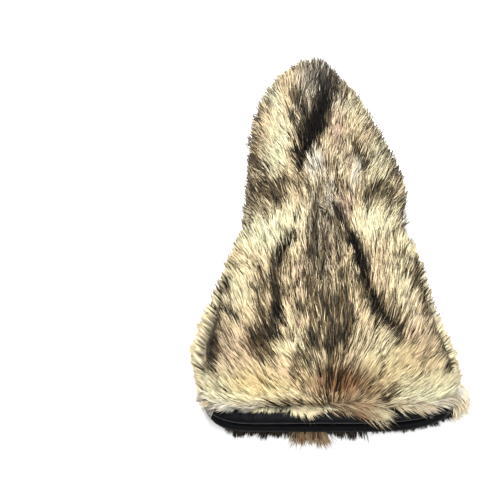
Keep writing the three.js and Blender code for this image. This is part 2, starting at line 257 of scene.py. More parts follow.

# %% [markdown]
# ## The chart of markings
# A coyote's pelt has its own markings: a black stripe near the fingertip, two dark stripes that run
# down from the wrist like braces, cream bands, and a brown whorl at the cuff. Each is charted
# as a soft oval: its middle, half length, half width, turn from +Y in degrees, and strength. A long
# stripe is a short chain of ovals. A dark mark makes dark hairs more likely there, and a tint changes
# the pale hairs.
# The dark marks also chart a thin dark line along each side seam, which is painted shade in the seam's
# valley over darker roots.

# %% Dark marks
#    x,   y,  half length, half width, turn, strength
DARK_MARKS = np.array([
    [0, 368, 20, 22, 0, 0.36],
    [3, 350, 20, 10, 5, 0.24],
    [3, 338, 15, 9, 6, 0.78],
    [-4, 320, 17, 10, 20, 1.0],
    [-10, 304, 15, 10, 26, 1.0],
    [-18, 291, 14, 9, 35, 1.0],
    [-24, 278, 13, 5, 5, 0.9],
    [-24, 334, 24, 10, -8, 0.52],
    [-28, 286, 8, 6, 20, 0.4],
    [-17, 314, 14, 8, 0, 0.5],
    [18, 350, 20, 8, -15, 0.2],
    [-52, 240, 14, 11, -30, 0.45],
    [-43, 253, 9, 8, -20, 0.35],
    [-62, 222, 12, 9, -10, 0.25],
    [-59, 185, 12, 8, 0, 0.2],
    [8, 270, 9, 6, 0, 0.35],
    [-44, 296, 16, 8, 10, 0.18],
    [-12, 184, 14, 8, 0, 0.3],
    [44, 238, 12, 11, 10, 0.45],
    [24, 243, 8, 7, 0, 0.25],
    [-26, 219, 10, 8, 0, 0.2],
    [-42, 196, 12, 8, 0, 0.2],
    [62, 188, 14, 12, 0, 0.2],
    [77, 168, 14, 13, 0, 0.35],
    [40, 160, 22, 8, 0, 0.2],
    [-10, 133, 10, 7, 0, 0.3],
    [-10, 150, 9, 7, 0, 0.26],
    [24, 134, 10, 7, 0, 0.3],
    [55, 134, 9, 7, 0, 0.25],
    [104, 134, 14, 9, 10, 0.5],
    [-12, 28, 10, 11, 0, 0.24],
    [76, 260, 10, 4, 20, 0.35],
    [86, 222, 8, 4, 10, 0.4],
    [-78, 244, 18, 5, -5, 0.12],
    [-46, 234, 8, 5, -20, 0.2],
    [36, 287, 11, 5, -25, 0.64],
    [43, 272, 12, 5, -25, 0.55],
    [60, 245, 14, 12, 30, 0.6],
    [72, 234, 10, 6, 30, 0.35],
    [-62, 150, 14, 8, 10, 0.3],
    [-68, 262, 42, 12, -6, 0.18],
    [-80, 216, 24, 6, -5, 0.2],
    [80, 250, 24, 5, 14, 0.2],
    [-4, 246, 28, 18, 0, 0.26],
    [6, 204, 24, 12, 0, 0.24],
    [-11, 191, 21, 7, 3, 0.56],
    [17, 188, 12, 7, -15, 0.5],
    [0, 150, 40, 24, 0, 0.32],
    [9, 100, 34, 24, 0, 0.48],
    [-14, 80, 18, 6, 10, 0.36],
    [6, 78, 16, 5, 0, 0.5],
    [22, 84, 16, 6, -8, 0.38],
    [-24, 58, 18, 9, 15, 0.44],
    [4, 54, 11, 22, 0, 0.26],
    [12, 46, 11, 18, 0, 0.2],
    [46, 36, 6, 15, 70, 0.34],
    [57, 58, 12, 9, 0, 0.32],
    [71, 26, 14, 9, 60, 0.4],
    [-45, 14, 7, 22, 0, 0.4],
    [17, 214, 12, 3.4, -22, 0.7],
    [23, 203, 13, 4.4, -25, 0.7],
    [32, 186, 15, 5.2, -22, 0.92],
    [38, 166, 15, 6.4, -16, 0.92],
    [46, 142, 16, 6, -22, 0.92],
    [55, 120, 16, 6.4, -30, 0.95],
    [67, 106, 16, 7, -38, 0.76],
    [38, 134, 10, 5, -20, 0.5],
    [74, 118, 14, 8, -30, 0.4],
    [80, 90, 14, 10, -35, 0.4],
    [-35, 188, 10, 6, 35, 0.85],
    [-43, 176, 11, 6.5, 38, 0.85],
    [-47, 158, 12, 5.5, 15, 0.66],
    [-64, 118, 28, 10, 0, 0.44],
    [-96, 136, 12, 6, 15, 0.55],
    [-27, 116, 12, 6, 0, 0.3],
    [-27, 90, 18, 7, 0, 0.18],
    [-42, 82, 10, 8, 0, 0.3],
    [-48, 138, 14, 5, 0, 0.7],
    [-47, 116, 14, 6, 0, 0.85],
    [-52, 95, 14, 6, 12, 0.75],
    [-60, 74, 11, 5, 20, 0.6],
    [-69, 82, 12, 11, 0, 0.6],
    [-94, 110, 8, 5, -20, 0.5],
    [100, 152, 14, 7, 15, 0.5],
    [107, 134, 12, 5, 10, 0.7],
    [98, 172, 14, 5, 15, 0.35],
    # the last ten rows chart the dark line along both side seams: painted shade in the seam's valley, over
    # the darker hair roots there
    [113, 106, 20, 3.6, -10, 0.9],
    [120, 82, 16, 3.8, -20, 0.9],
    [128, 58, 16, 3.8, -18, 0.9],
    [-100, 140, 14, 3.2, 15, 0.85],
    [-105, 118, 14, 3.4, 8, 0.9],
    [-108, 98, 14, 3.6, 10, 0.9],
    [-113, 78, 14, 5.4, 18, 0.95],
    [-109, 67, 12, 5, 12, 0.6],
    [-118, 60, 12, 4.6, 18, 0.85],
    [-123, 44, 8, 3.5, 20, 0.6],
])

# %% Tints of the pale hairs
#    x,   y,  half length, half width, turn, strength
TINT_MARKS = {
    "white": (WHITE, np.array([
        [-8, 272, 15, 11, 0, 0.7],
        [36, 264, 17, 6, 8, 0.55],
        [8, 240, 20, 4, 0, 0.5],
        [-110, 16, 12, 26, 0, 0.8],
        [118, 20, 12, 30, 0, 0.7],
        [-80, 10, 8, 40, 0, 0.7],
    ])),
    "cream": (CREAM, np.array([
        [-50, 340, 18, 9, -14, 1.0],
        [32, 336, 14, 8, 20, 0.8],
        [22, 280, 18, 8, 0, 0.6],
        [56, 288, 10, 8, 0, 0.6],
        [-48, 288, 34, 12, 15, 1.0],
        [-62, 198, 22, 34, 0, 1.0],
        [-28, 214, 14, 14, 0, 0.8],
        [56, 208, 18, 26, 0, 1.0],
        [84, 180, 30, 16, 0, 0.7],
        [-30, 60, 26, 30, -30, 0.7],
        [60, 60, 26, 30, 30, 0.7],
        [-90, 140, 30, 18, 0, 0.6],
        [54, 330, 20, 16, 20, 0.7],
        [96, 34, 20, 40, 0, 1.0],
        [-84, 30, 22, 60, 0, 1.0],
        [60, 255, 40, 16, 10, 0.6],
        [84, 140, 50, 12, -14, 0.6],
        [58, 282, 26, 10, 15, 0.8],
        [76, 222, 12, 8, 10, 0.8],
        [118, 26, 18, 24, 0, 1.0],
        [-8, 236, 26, 10, 0, 0.3],
    ])),
    "gold": (GOLD, np.array([
        [-66, 38, 18, 34, 0, 1.0],
        [-34, 44, 22, 22, -30, 0.8],
        [62, 46, 22, 22, 40, 0.7],
        [-66, 64, 22, 26, 0, 0.6],
        [92, 60, 22, 26, 0, 0.6],
        [14, 14, 7, 34, 0, 0.8],
    ])),
    "pink": (PINK, np.array([
        [16, 306, 16, 7, 0, 1.0],
        [25, 278, 16, 5.5, -5, 0.6],
        [18, 228, 14, 4, 0, 1.0],
        [27, 226, 13, 4.5, 5, 1.0],
        [-24, 150, 22, 5, 10, 0.6],
        [-86, 72, 22, 26, 0, 0.5],
        [98, 96, 34, 12, -12, 0.4],
        [50, 300, 20, 8, 0, 0.2],
        [-40, 52, 12, 14, 0, 0.4],
    ])),
    "brown": (BROWN, np.array([
        [18, 38, 20, 38, 0, 1.0],
        [44, 30, 12, 22, 0, 0.7],
        [26, 18, 10, 34, 0, 0.4],
        [-45, 14, 7, 22, 0, 0.4],
        [-64, 52, 24, 30, 0, 0.1],
        [92, 60, 24, 30, 0, 0.1],
        [14, 60, 20, 30, 0, 0.35],
        [48, 28, 6, 14, 60, 0.5],
        [-69, 82, 12, 12, 0, 0.5],
    ])),
    "silver": (SILVER, np.array([
        [0, 366, 24, 22, 0, 1.0],
        [-10, 335, 26, 20, 0, 0.6],
        [14, 345, 18, 12, 0, 0.6],
        [0, 205, 60, 18, 0, 0.4],
    ])),
}
ELEVATION = math.radians(72)
CHART_SLOPE = 1 / math.tan(ELEVATION)
CHART_HEIGHT = 55
BASE_DARKNESS = 0.225
CREAM_CLEARS = 0.6
MOST_DARK = 0.97
OVAL_FALL = 0.8


def ovals(marks, x, y):
    """For each mark, strength times exp(-0.8 r cubed), where r is 1 on the oval's edge: flat inside
    and soft at the edge. One row of the result for each mark."""
    turn = np.radians(marks[:, 4])[:, None]
    dx, dy = x[None, :] - marks[:, 0][:, None], y[None, :] - marks[:, 1][:, None]
    ahead = dx * np.sin(turn) + dy * np.cos(turn)
    aside = dx * np.cos(turn) - dy * np.sin(turn)
    r2 = (ahead / marks[:, 2][:, None]) ** 2 + (aside / marks[:, 3][:, None]) ** 2
    return marks[:, 5][:, None] * np.exp(-OVAL_FALL * r2**1.5)


def seen_at(points):
    """Place on the chart: straight from above, then slid along +Y as the height is seen from 72 degrees."""
    return points[:, 0], points[:, 1] + CHART_SLOPE * (points[:, 2] - CHART_HEIGHT)


def darkness_at(points):
    """Share of dark hairs: the chance that at least one of the dark marks takes the hair. Stray dark
    hairs grow all over, but fewer of them in the cream parts."""
    x, y = seen_at(points)
    clear = np.prod(1 - np.clip(ovals(DARK_MARKS, x, y), 0, MOST_DARK), 0)
    cream = np.clip(ovals(TINT_MARKS["cream"][1], x, y).max(0), 0, 1)
    return 1 - clear * (1 - BASE_DARKNESS * (1 - CREAM_CLEARS * cream))


def pale_at(points):
    """Colour of the pale hairs: beige, blended towards each tint by its strongest mark."""
    x, y = seen_at(points)
    colour = np.tile(BEIGE, (len(points), 1))
    for tint, marks in TINT_MARKS.values():
        share = np.clip(ovals(marks, x, y).max(0), 0, 1)[:, None]
        colour = colour * (1 - share) + tint * share
    return colour


print("dark marks:", len(DARK_MARKS), "tint marks:", sum(len(m) for _, m in TINT_MARKS.values()))

# %% [markdown]
# ## Materials
# Hair is a bundle of fine dull fibres with a soft shine. Its colour comes from an attribute of the
# mesh, so each hair has its own, and a fine noise makes it uneven along its length. The leather is
# almost black, with a fine pebbled grain. The lining is a plain black weave.

# %% Shader helpers
def new_material(name, roughness, specular):
    """A Principled material. Numbers that are the same all over are set on its own sockets."""
    material = bpy.data.materials.new(name)
    material.use_nodes = True
    shader = material.node_tree.nodes["Principled BSDF"]
    shader.inputs["Roughness"].default_value = roughness
    shader.inputs["Specular IOR Level"].default_value = specular
    return material, material.node_tree, shader


def node(tree, kind, **values):
    """A node with its inputs set by name."""
    made = tree.nodes.new(kind)
    for key, value in values.items():
        made.inputs[key.replace("_", " ")].default_value = value
    return made


def texture(tree, kind, **values):
    """A texture node that reads the Object coordinates."""
    made = node(tree, kind, **values)
    place = tree.nodes.new("ShaderNodeTexCoord")
    tree.links.new(place.outputs["Object"], made.inputs["Vector"])
    return made


def combined(tree, operation, one, two):
    """The sum or the product of two sockets."""
    made = tree.nodes.new("ShaderNodeMath")
    made.operation = operation
    tree.links.new(one, made.inputs[0])
    tree.links.new(two, made.inputs[1])
    return made.outputs["Value"]


def bump(tree, shader, height, strength, distance):
    """Sends a height pattern to the shader's normal."""
    made = node(tree, "ShaderNodeBump", Strength=strength, Distance=distance)
    tree.links.new(height, made.inputs["Height"])
    tree.links.new(made.outputs["Normal"], shader.inputs["Normal"])


def mixed(tree, low, high, factor):
    """A colour between two colours, or between a colour and a socket, by a factor socket."""
    mix = tree.nodes.new("ShaderNodeMix")
    mix.data_type = "RGBA"
    for name, value in (("A", low), ("B", high)):
        socket = next(s for s in mix.inputs if s.name == name and s.type == "RGBA")
        if isinstance(value, bpy.types.NodeSocket):
            tree.links.new(value, socket)
        else:
            socket.default_value = (*value, 1)
    tree.links.new(factor, mix.inputs["Factor"])
    return next(s for s in mix.outputs if s.type == "RGBA")


# %% Fur
def fur_material(name, shade, noise_size):
    """The hair's own colour, darkened here and there by a fine noise."""
    material, tree, shader = new_material(name, 0.6, 0.09)
    colour = tree.nodes.new("ShaderNodeAttribute")
    colour.attribute_name = "fur_colour"
    noise = texture(tree, "ShaderNodeTexNoise", Scale=noise_size, Detail=3.0)
    darker = tree.nodes.new("ShaderNodeVectorMath")
    darker.operation = "SCALE"
    darker.inputs["Scale"].default_value = shade
    tree.links.new(colour.outputs["Color"], darker.inputs[0])
    blend = mixed(tree, darker.outputs["Vector"], colour.outputs["Color"], noise.outputs["Fac"])
    tree.links.new(blend, shader.inputs["Base Color"])
    return material, tree, shader, noise


guard_hair, _, _, _ = fur_material("guard_hair", 0.72, 260.0)
under_fur, under_tree, under_shader, under_noise = fur_material("under_fur", 0.4, 420.0)
bump(under_tree, under_shader, under_noise.outputs["Fac"], 0.9, 0.002)

# %% Leather
leather, leather_tree, leather_shader = new_material("binding_leather", 0.34, 0.05)
grain = texture(leather_tree, "ShaderNodeTexVoronoi", Scale=900.0)
creases = texture(leather_tree, "ShaderNodeTexNoise", Scale=70.0, Detail=4.0)
hide = mixed(leather_tree, light_of(2, 2, 3), light_of(12, 13, 16), creases.outputs["Fac"])
leather_tree.links.new(hide, leather_shader.inputs["Base Color"])
uneven = combined(leather_tree, "ADD", grain.outputs["Distance"], creases.outputs["Fac"])
bump(leather_tree, leather_shader, uneven, 0.35, 0.0006)

# %% Lining cloth
cloth, cloth_tree, cloth_shader = new_material("lining_cloth", 0.9, 0.08)
warp = texture(cloth_tree, "ShaderNodeTexWave", Scale=330.0, Distortion=0.6)
weft = texture(cloth_tree, "ShaderNodeTexWave", Scale=330.0, Distortion=0.6)
weft.bands_direction = "Y"
weave = combined(cloth_tree, "MULTIPLY", warp.outputs["Fac"], weft.outputs["Fac"])
yarn_colour = mixed(cloth_tree, light_of(8, 8, 9), light_of(30, 30, 33), weave)
cloth_tree.links.new(yarn_colour, cloth_shader.inputs["Base Color"])
bump(cloth_tree, cloth_shader, weave, 0.5, 0.0004)

# %% [markdown]
# ## Sheets with two faces
# Skin and cloth are sheets, and a sheet in a 3-D model is a closed solid too: an outer face, an inner
# face and the edges between them. Both faces are grids with the same rows and columns. They are joined
# along the mouth, the side seams and the tip, and round the hole where the thumb goes through.

# %% Sheet helper
def arc(row, angle, grown, power_from=None):
    """A layer along an arc. Where the other face has another power, the angle is changed so that
    points with the same row and column lie over each other."""
    if power_from:
        shifted = np.abs(np.cos(angle)) ** (ROUND_BOTTOM / power_from)
        flat_angle = -np.arccos(np.sign(np.cos(angle)) * shifted)
        angle = np.where(np.sin(angle) < 0, flat_angle, angle)
    return layer(row, angle, grown, grown, grown, grown)


FAR_OFF = 100


def round_hole(outside, inside, lowest=-1.0, highest=34.0):
    """Marks the cells of both faces that lie in the thumb's hole, and draws their rim onto its oval.
    Points above or below the hole's heights are put far off, so that they never count as within it."""
    off = (outside[..., :2] - HOLE_MIDDLE) / HOLE_HALF
    off[..., 0] += FAR_OFF * ((outside[..., 2] > highest) | (outside[..., 2] < lowest))
    within = (off**2).sum(-1) < 1
    gone = within[:-1, :-1] & within[1:, :-1] & within[:-1, 1:] & within[1:, 1:]
    corner = np.zeros(within.shape, bool)
    for i, j in ((0, 0), (1, 0), (0, 1), (1, 1)):
        rows, columns = gone.shape
        corner[i:i + rows, j:j + columns] |= gone
    kept = np.zeros(within.shape, bool)
    still = np.pad(~gone, 1, constant_values=True)
    for i, j in ((0, 0), (1, 0), (0, 1), (1, 1)):
        kept |= still[i:i + within.shape[0], j:j + within.shape[1]]
    rim = corner & kept
    oval = HOLE_MIDDLE + unit(off[rim]) * HOLE_HALF
    outside[rim, :2] = oval
    inside[rim, :2] = oval
    return gone


def sheet(outside, inside, gone=None, bag=False):
    """Points and faces of a closed sheet from its two faces, whose grids run from the mouth to the tip
    and from one seam to the other. Every edge of a kept cell that has no neighbour gets a wall. The
    faces of a bag close on themselves, and its two ends are drawn to a point."""
    rows, columns = outside.shape[:2]
    number = np.arange(rows * columns).reshape(rows, columns)
    if bag:
        number = np.concatenate([number, number[:, :1]], 1)
    keep = np.ones((rows - 1, number.shape[1] - 1), bool) if gone is None else ~gone
    i, j = np.nonzero(keep)
    cell = np.stack([number[i, j], number[i, j + 1], number[i + 1, j + 1], number[i + 1, j]], 1)
    around = np.pad(keep, 1)
    if bag:
        around[:, 0], around[:, -1] = around[:, -2], around[:, 1]
        around[0], around[-1] = True, True
    walls = []
    for di, dj, one, two in ((-1, 0, 0, 1), (0, 1, 1, 2), (1, 0, 2, 3), (0, -1, 3, 0)):
        bare = keep[i, j] & ~around[i + 1 + di, j + 1 + dj]
        a, b = cell[bare, one], cell[bare, two]
        walls.append(np.stack([b, a, a + rows * columns, b + rows * columns], 1))
    points = np.concatenate([outside.reshape(-1, 3), inside.reshape(-1, 3)])
    faces = [cell, cell[:, ::-1] + rows * columns, *walls]
    if bag:
        for k, face in enumerate((outside, inside)):
            for end, way in ((0, 1), (-1, -1)):
                ring = number[end][::way] + k * rows * columns
                pole = np.full(columns, len(points))
                fan = np.stack([ring[1:], ring[:-1], pole], 1)
                faces.append(fan if k == 0 else fan[:, ::-1])
                points = np.concatenate([points, face[end].mean(0)[None, :]])
    return points, faces


# %% [markdown]
# ## The dense under-fur
# Below the long guard hairs a pelt has a dense woolly layer that hides the skin. Here it is the outer
# face of a sheet whose inner face is the skin's inside. The back's sheet ends above the side seam and
# the palm's below it, so two pelts meet along the sides as they do on the real mitten. The palm's
# fur is pressed flat on the table, and up over the thumb that lies under it.

# %% Under-fur of the two pelts
SKIN = 2.0
PILE_START, PILE_FULL = 10.6, 16.0
UNDER = {"side": 2.5, "top": 5.0, "tip": 3.0}
SEAM_GAP = 0.4
EDGE_Y = 1.0
HOLE_MIDDLE = np.array([THUMB_X, THUMB_Y + 28.0])
HOLE_HALF = np.array([12.0, 15.0])
THUMB_AIR = 0.6
BELLY_LIFT = 1.5
# the fur's colour is darkened to this share on the under-fur: partly the woolly layer's own duller tone,
# partly painted shade in the gaps between the hairs
UNDER_FUR_TONE_AND_PAINTED_SHADE = 0.42
PALM_STRENGTH = 0.8


def seam_angle(row, top, side_of_seam):
    """Angle of the layer's point at the seam's height: the superellipse solved for its height."""
    data = section(row)
    up = np.maximum(data[..., HIGH] + top * tip_fade(row)[1] - waist_of(data), 0.01)
    rise = np.clip((data[..., SEAM] + side_of_seam * SEAM_GAP / 2 - waist_of(data)) / up, 0, 1)
    return np.arcsin(rise ** (ROUND_TOP / 2))


def even_rows(count, first_y=PILE_FULL):
    """Row numbers at even steps from the section at first_y to the tip."""
    return np.linspace(row_at(first_y), LAST, count)


def pile_at(row, full=1.0):
    """Depth of the fur: none on the bare edge, and full from the end of the slope."""
    y = np.interp(row, FINE_ROWS, FINE_SECTIONS[:, Y])
    return full * np.clip((y - PILE_START) / (PILE_FULL - PILE_START), 0, 1)


def over_thumb(points):
    """Lifts the points that lie over the thumb's outline onto its upper side, with a little air."""
    half = np.interp(points[..., 1] - THUMB_Y, THUMB[:, 0], THUMB[:, 1], left=0, right=0)
    high = np.interp(points[..., 1] - THUMB_Y, THUMB[:, 0], THUMB[:, 3])
    middle = (high + np.interp(points[..., 1] - THUMB_Y, THUMB[:, 0], THUMB[:, 2])) / 2
    share = np.abs(points[..., 0] - THUMB_X) / np.maximum(half + THUMB_AIR, 0.1)
    crown = middle + (high - middle) * np.clip(1 - share**THUMB_POWER, 0, 1) ** (1 / THUMB_POWER)
    covered = (share < 1) & (half > 0)
    points[..., 2] = np.where(covered, np.maximum(points[..., 2], crown + THUMB_AIR), points[..., 2])
    return points


def fur_colours(points, above):
    """Average colour of the fur at each point, for the layer under the hairs."""
    if not above:
        return np.tile(BEIGE * PALM_STRENGTH, (len(points), 1))
    dark = darkness_at(points)[:, None]
    return pale_at(points) * (1 - dark) + DEEP_BROWN * dark


def pelt(name, above, replaces, rows=62, columns=92):
    """A sheet from seam to seam: bare skin at the mouth, a slope, and the full depth of the fur."""
    row = np.concatenate([[row_at(EDGE_Y), row_at(PILE_START)], even_rows(rows)])[:, None]
    t = np.linspace(0, 1, columns)[None, :]
    depth = {k: pile_at(row, v) for k, v in UNDER.items()}
    start = seam_angle(row, depth["top"], 1 if above else -1)
    angle = start + (np.pi - 2 * start) * t if above else start - (np.pi + 2 * start) * t
    bare = layer(row, angle, depth["side"], depth["top"], depth["tip"], 0.0)
    if above:
        outside, inside, gone = bare, arc(row, angle, -SKIN), None
    else:
        full = layer(row, angle, depth["side"], depth["top"], depth["tip"])
        share = pile_at(row)[..., None]
        outside = over_thumb(bare * (1 - share) + full * share)
        inside = arc(row, angle, -SKIN, ROUND_BELLY)
        gone = round_hole(outside, inside)
    outside[..., 2] = np.maximum(outside[..., 2], BELLY_LIFT)
    points, faces = sheet(outside, inside, gone)
    # painted shade: the under-fur takes the fur's colour darkened, for the shade between the hairs as well
    # as its own duller tone
    colours = fur_colours(points, above) * UNDER_FUR_TONE_AND_PAINTED_SHADE
    new_piece(name, points, faces, under_fur, colours, replaces=[replaces])


pelt("back_underfur", True, "back_coat")
pelt("palm_underfur", False, "palm_coat")

# %% [markdown]
# ## The thumb
# The thumb is a small bag of the same fur under the palm, sewn on round the hole. It is hidden in the
# picture, so it is plain. Its outside and its inside are each a row of rings that close at both ends.

# %% The thumb's bag
#     y  half low  high
THUMB_INSIDE = np.array([
    [8.0, 0.0, 9.0, 9.0],
    [10.0, 10.0, 4.5, 13.5],
    [18.0, 16.0, 3.8, 14.2],
    [40.0, 19.0, 3.8, 14.2],
    [66.0, 17.0, 3.8, 14.2],
    [79.0, 11.0, 4.8, 13.0],
    [86.0, 0.0, 9.0, 9.0],
])
THUMB_MIDDLE = 9.0


def thumb_rings(table, rows=26, around=48):
    """Superellipses about the middle of the table's low and high, closer together near both ends."""
    share = (1 - np.cos(np.pi * np.linspace(0, 1, rows + 2)[1:-1]))[:, None] / 2
    angle = np.linspace(-0.5 * np.pi, 1.5 * np.pi, around, endpoint=False)[None, :]
    y = table[0, 0] + (table[-1, 0] - table[0, 0]) * share
    half, low, high = (np.interp(y, table[:, 0], table[:, k]) for k in (1, 2, 3))
    middle = (low + high) / 2
    x = THUMB_X + half * bend(np.cos(angle), THUMB_POWER)
    z = middle + (high - middle) * bend(np.sin(angle), THUMB_POWER)
    return np.stack(np.broadcast_arrays(x, THUMB_Y + y, z), -1)


outside, inside = thumb_rings(THUMB), thumb_rings(THUMB_INSIDE)
gone = round_hole(outside, inside, lowest=THUMB_MIDDLE)
outside[..., 2] = np.maximum(outside[..., 2], BELLY_LIFT)
points, faces = sheet(outside, inside, np.pad(gone, ((0, 0), (0, 1))), bag=True)
# the thumb's under-fur is darkened the same way: its own duller tone and painted shade
new_piece("thumb_underfur", points, faces, under_fur, fur_colours(points, False) * UNDER_FUR_TONE_AND_PAINTED_SHADE,
          replaces=["thumb_coat"])

# %% [markdown]
# ## The lining
# The lining is a bag of plain black cloth, cut as two panels and sewn along the sides. Cloth never lies
# quite smooth in a mitten, so its inner face has slack folds that run lengthwise: a few sine waves
# round the bag, each fading in and out along it.

# %% Lining panels
LINING_OUT, LINING_IN = -2.4, -4.2
SEWN_NICK = 0.012
FOLD_DEPTH, FOLD_MIDDLE, FINE_SHARE = 0.45, 12.0, 0.6
# how fast each kind of wave runs round the bag, and along it
FOLDS, FOLD_ENDS, FINE_FOLDS = (14, 0.8), (3, 1.7), (23, -1.3)


def lining_panel(name, above, replaces, rows=50, columns=72):
    """A sheet between the lining's two layers. The inner face is drawn in towards the bag's middle by
    slack folds: sine waves round it that other waves fade, and finer ones."""
    row = even_rows(rows, EDGE_Y)[:, None]
    t = np.linspace(SEWN_NICK, math.pi - SEWN_NICK, columns)[None, :]
    angle = t if above else -t
    outside, inside = arc(row, angle, LINING_OUT), arc(row, angle, LINING_IN)
    folds, ends, fine = (np.sin(a * t + b * row) for a, b in (FOLDS, FOLD_ENDS, FINE_FOLDS))
    wave = folds * ends + FINE_SHARE * fine
    middle = section(row)[..., [CENTRE, Y, LOW]] + [0, 0, FOLD_MIDDLE]
    inside += unit(middle - inside) * (FOLD_DEPTH * np.clip(wave, 0, 2) * np.sin(t))[..., None]
    gone = None if above else round_hole(outside, inside)
    points, faces = sheet(outside, inside, gone)
    new_piece(name, points, faces, cloth, replaces=[replaces])


lining_panel("lining_back_panel", True, "lining_back")
lining_panel("lining_palm_panel", False, "lining_palm")

# %% [markdown]
# ## The leather binding
# A strip of thin black leather is folded over the raw edge of the skin and the lining, and sewn down.
# Its section is a narrow hairpin with a round nose, carried round the mouth along the same layers as
# the skin. The strip's end laps over its start near the left corner, where it shows as a step, and the
# leather has small puckers from its stitches. At the left corner its back edge curls out of the fur.

# %% Binding strip
BINDING_OUT, BINDING_IN, BINDING_WALL = 2.3, -6.5, 1.9
BINDING_FRONT, BINDING_BACK, SLOT_FLOOR = -4.0, 9.5, 0.6
FLAT_ROWS = (7.5, 4.0)
LAP_X, LAP_STEP, LAP_RUN = -108.0, 0.9, 1.2
PUCKER, STITCHES, STITCH_GROUPS, RIPPLES = 0.22, 150, 11, 47
CURL, CURL_WIDTH, CURL_ASIDE, CURL_FROM = 9.0, 0.2, 0.1, 3.0


def binding_strip(name, around=440, nose_points=9):
    """The hairpin's outline as rows of a tube: outer side, round nose, inner side, and the slot that
    holds the skin's edge. 'out' is the distance from the skin's outside."""
    radius = (BINDING_OUT - BINDING_IN) / 2
    turn = np.linspace(0, np.pi, nose_points)
    nose_y = BINDING_FRONT + radius * (1 - np.sin(turn))
    nose_out = (BINDING_OUT + BINDING_IN) / 2 + radius * np.cos(turn)
    out_slot, in_slot = BINDING_OUT - BINDING_WALL, BINDING_IN + BINDING_WALL
    flat = [BINDING_BACK, *FLAT_ROWS]
    y = np.concatenate([flat, nose_y, flat[::-1], [BINDING_BACK, SLOT_FLOOR, SLOT_FLOOR, BINDING_BACK]])
    out = np.concatenate([[BINDING_OUT] * 3, nose_out, [BINDING_IN] * 3,
                          [in_slot, in_slot, out_slot, out_slot]])
    outer_side = np.concatenate([[1, 1, 1], np.clip(np.cos(turn), 0, 1), np.zeros(7)])[:, None]
    angle = np.linspace(0, 2 * np.pi, around, endpoint=False)[None, :]
    row = row_at(np.maximum(y, 0))[:, None]
    stitches = np.sin(angle * STITCHES) * np.sin(angle * STITCH_GROUPS)
    pucker = PUCKER * outer_side * (stitches + np.sin(angle * RIPPLES + 1))
    plain = layer(row, angle, 0, 0, 0, 0.0)
    lap = 1 / (1 + np.exp(-(plain[..., 0] - LAP_X) / LAP_RUN)) * (np.sin(angle) > 0)
    grown = out[:, None] + outer_side * (LAP_STEP * lap - LAP_STEP) * (np.sin(angle) > 0) + pucker
    back = np.clip((y - CURL_FROM) / (BINDING_BACK - CURL_FROM), 0, 1)[:, None] ** 2
    left_corner = np.exp(-(((angle - np.pi + CURL_ASIDE) / CURL_WIDTH) ** 2))
    grown += CURL * (out > 0)[:, None] * back * left_corner
    points = layer(row, angle, grown, grown, 0, grown)
    points[..., 1] += np.minimum(y, 0)[:, None]
    rows = len(y)
    k, j = np.arange(rows)[:, None], np.arange(around)[None, :]
    k2, j2 = (k + 1) % rows, (j + 1) % around
    faces = np.stack(np.broadcast_arrays(k * around + j, k2 * around + j, k2 * around + j2,
                                         k * around + j2), -1).reshape(-1, 4)
    new_piece(name, points.reshape(-1, 3), [faces], leather, replaces=["cuff_binding"])


binding_strip("binding_strip")

# %% [markdown]
# ## Which way the hair lies
# Fur is combed by nature. On the hand it fans out from the middle towards the fingertip and both
# sides, between the two dark stripes it runs straight up, and at the cuff it turns until it lies
# along the edge. The chart below gives the lie of the hair in degrees from +Y, a row for each place
# along the mitten and a column for each share of the half width, in steps of five degrees.

# %% Lie of the hair
LIE_SHARES = np.array([-0.9, -0.5, -0.15, 0.2, 0.5, 0.9])
#     y   left  mid-left  left of middle  right of middle  mid-right  right
LIE = np.array([
    [8, -60, -65, -45, 45, 80, 70],
    [20, -50, -45, -40, 40, 60, 50],
    [35, -40, -40, -35, 30, 45, 30],
    [60, -30, -30, -25, 15, 40, 30],
    [100, -30, -20, -10, 5, 15, 15],
    [140, -40, -15, -5, 0, -10, 25],
    [165, -40, -5, 0, -10, -10, 25],
    [185, -35, -10, -10, -15, -5, 20],
    [205, -40, -20, -15, -20, 5, 30],
    [250, -40, -30, -15, 10, 30, 35],
    [290, -40, -25, -5, 5, 20, 30],
    [335, -30, -10, 0, 10, 10, 15],
    [375, -20, -10, 0, 5, 10, 10],
])
FUR_SIDE = 6.5
# how far the palm's hair turns at its sides, at places along the mitten
FAN_Y = (8, 30, 60, 120, 165, 374)
FAN_TURN = (84, 68, 60, 52, 38, 34)


def share_across(points):
    """How far to the side a point is, as a share of the fur's half width there."""
    data = section(row_at(points[:, 1]))
    return np.clip((points[:, 0] - data[:, CENTRE]) / (data[:, HALF] + FUR_SIDE), -1, 1)


def flow_at(points):
    """Angle from +Y in radians, straight between the rows and the columns of the chart."""
    share = np.clip(share_across(points), LIE_SHARES[0], LIE_SHARES[-1])
    row = np.interp(points[:, 1], LIE[:, 0], np.arange(len(LIE)))
    column = np.interp(share, LIE_SHARES, np.arange(len(LIE_SHARES)))
    i = np.minimum(row.astype(int), len(LIE) - 2)
    j = np.minimum(column.astype(int), len(LIE_SHARES) - 2)
    u, v = row - i, column - j
    angles = LIE[:, 1:]
    below = angles[i, j] * (1 - v) + angles[i, j + 1] * v
    above = angles[i + 1, j] * (1 - v) + angles[i + 1, j + 1] * v
    return np.radians(below * (1 - u) + above * u)


def fanned(points):
    """The lie of the palm's hair: out to the sides at the cuff, and more towards the tip on the hand."""
    return np.radians(np.interp(points[:, 1], FAN_Y, FAN_TURN) * share_across(points))


# %% The seam line
# where the back's hair ends, as the picture shows it
#     y  left x  right x
SEAM_LINE = np.array([
    [30, -150, 150],
    [44, -126, 137],
    [62, -117, 128],
    [83, -111, 120],
    [99, -107, 114],
    [121, -105, 110],
    [136, -101, 107],
    [148, -150, 150],
])
LEAST_LEFT = 0.3


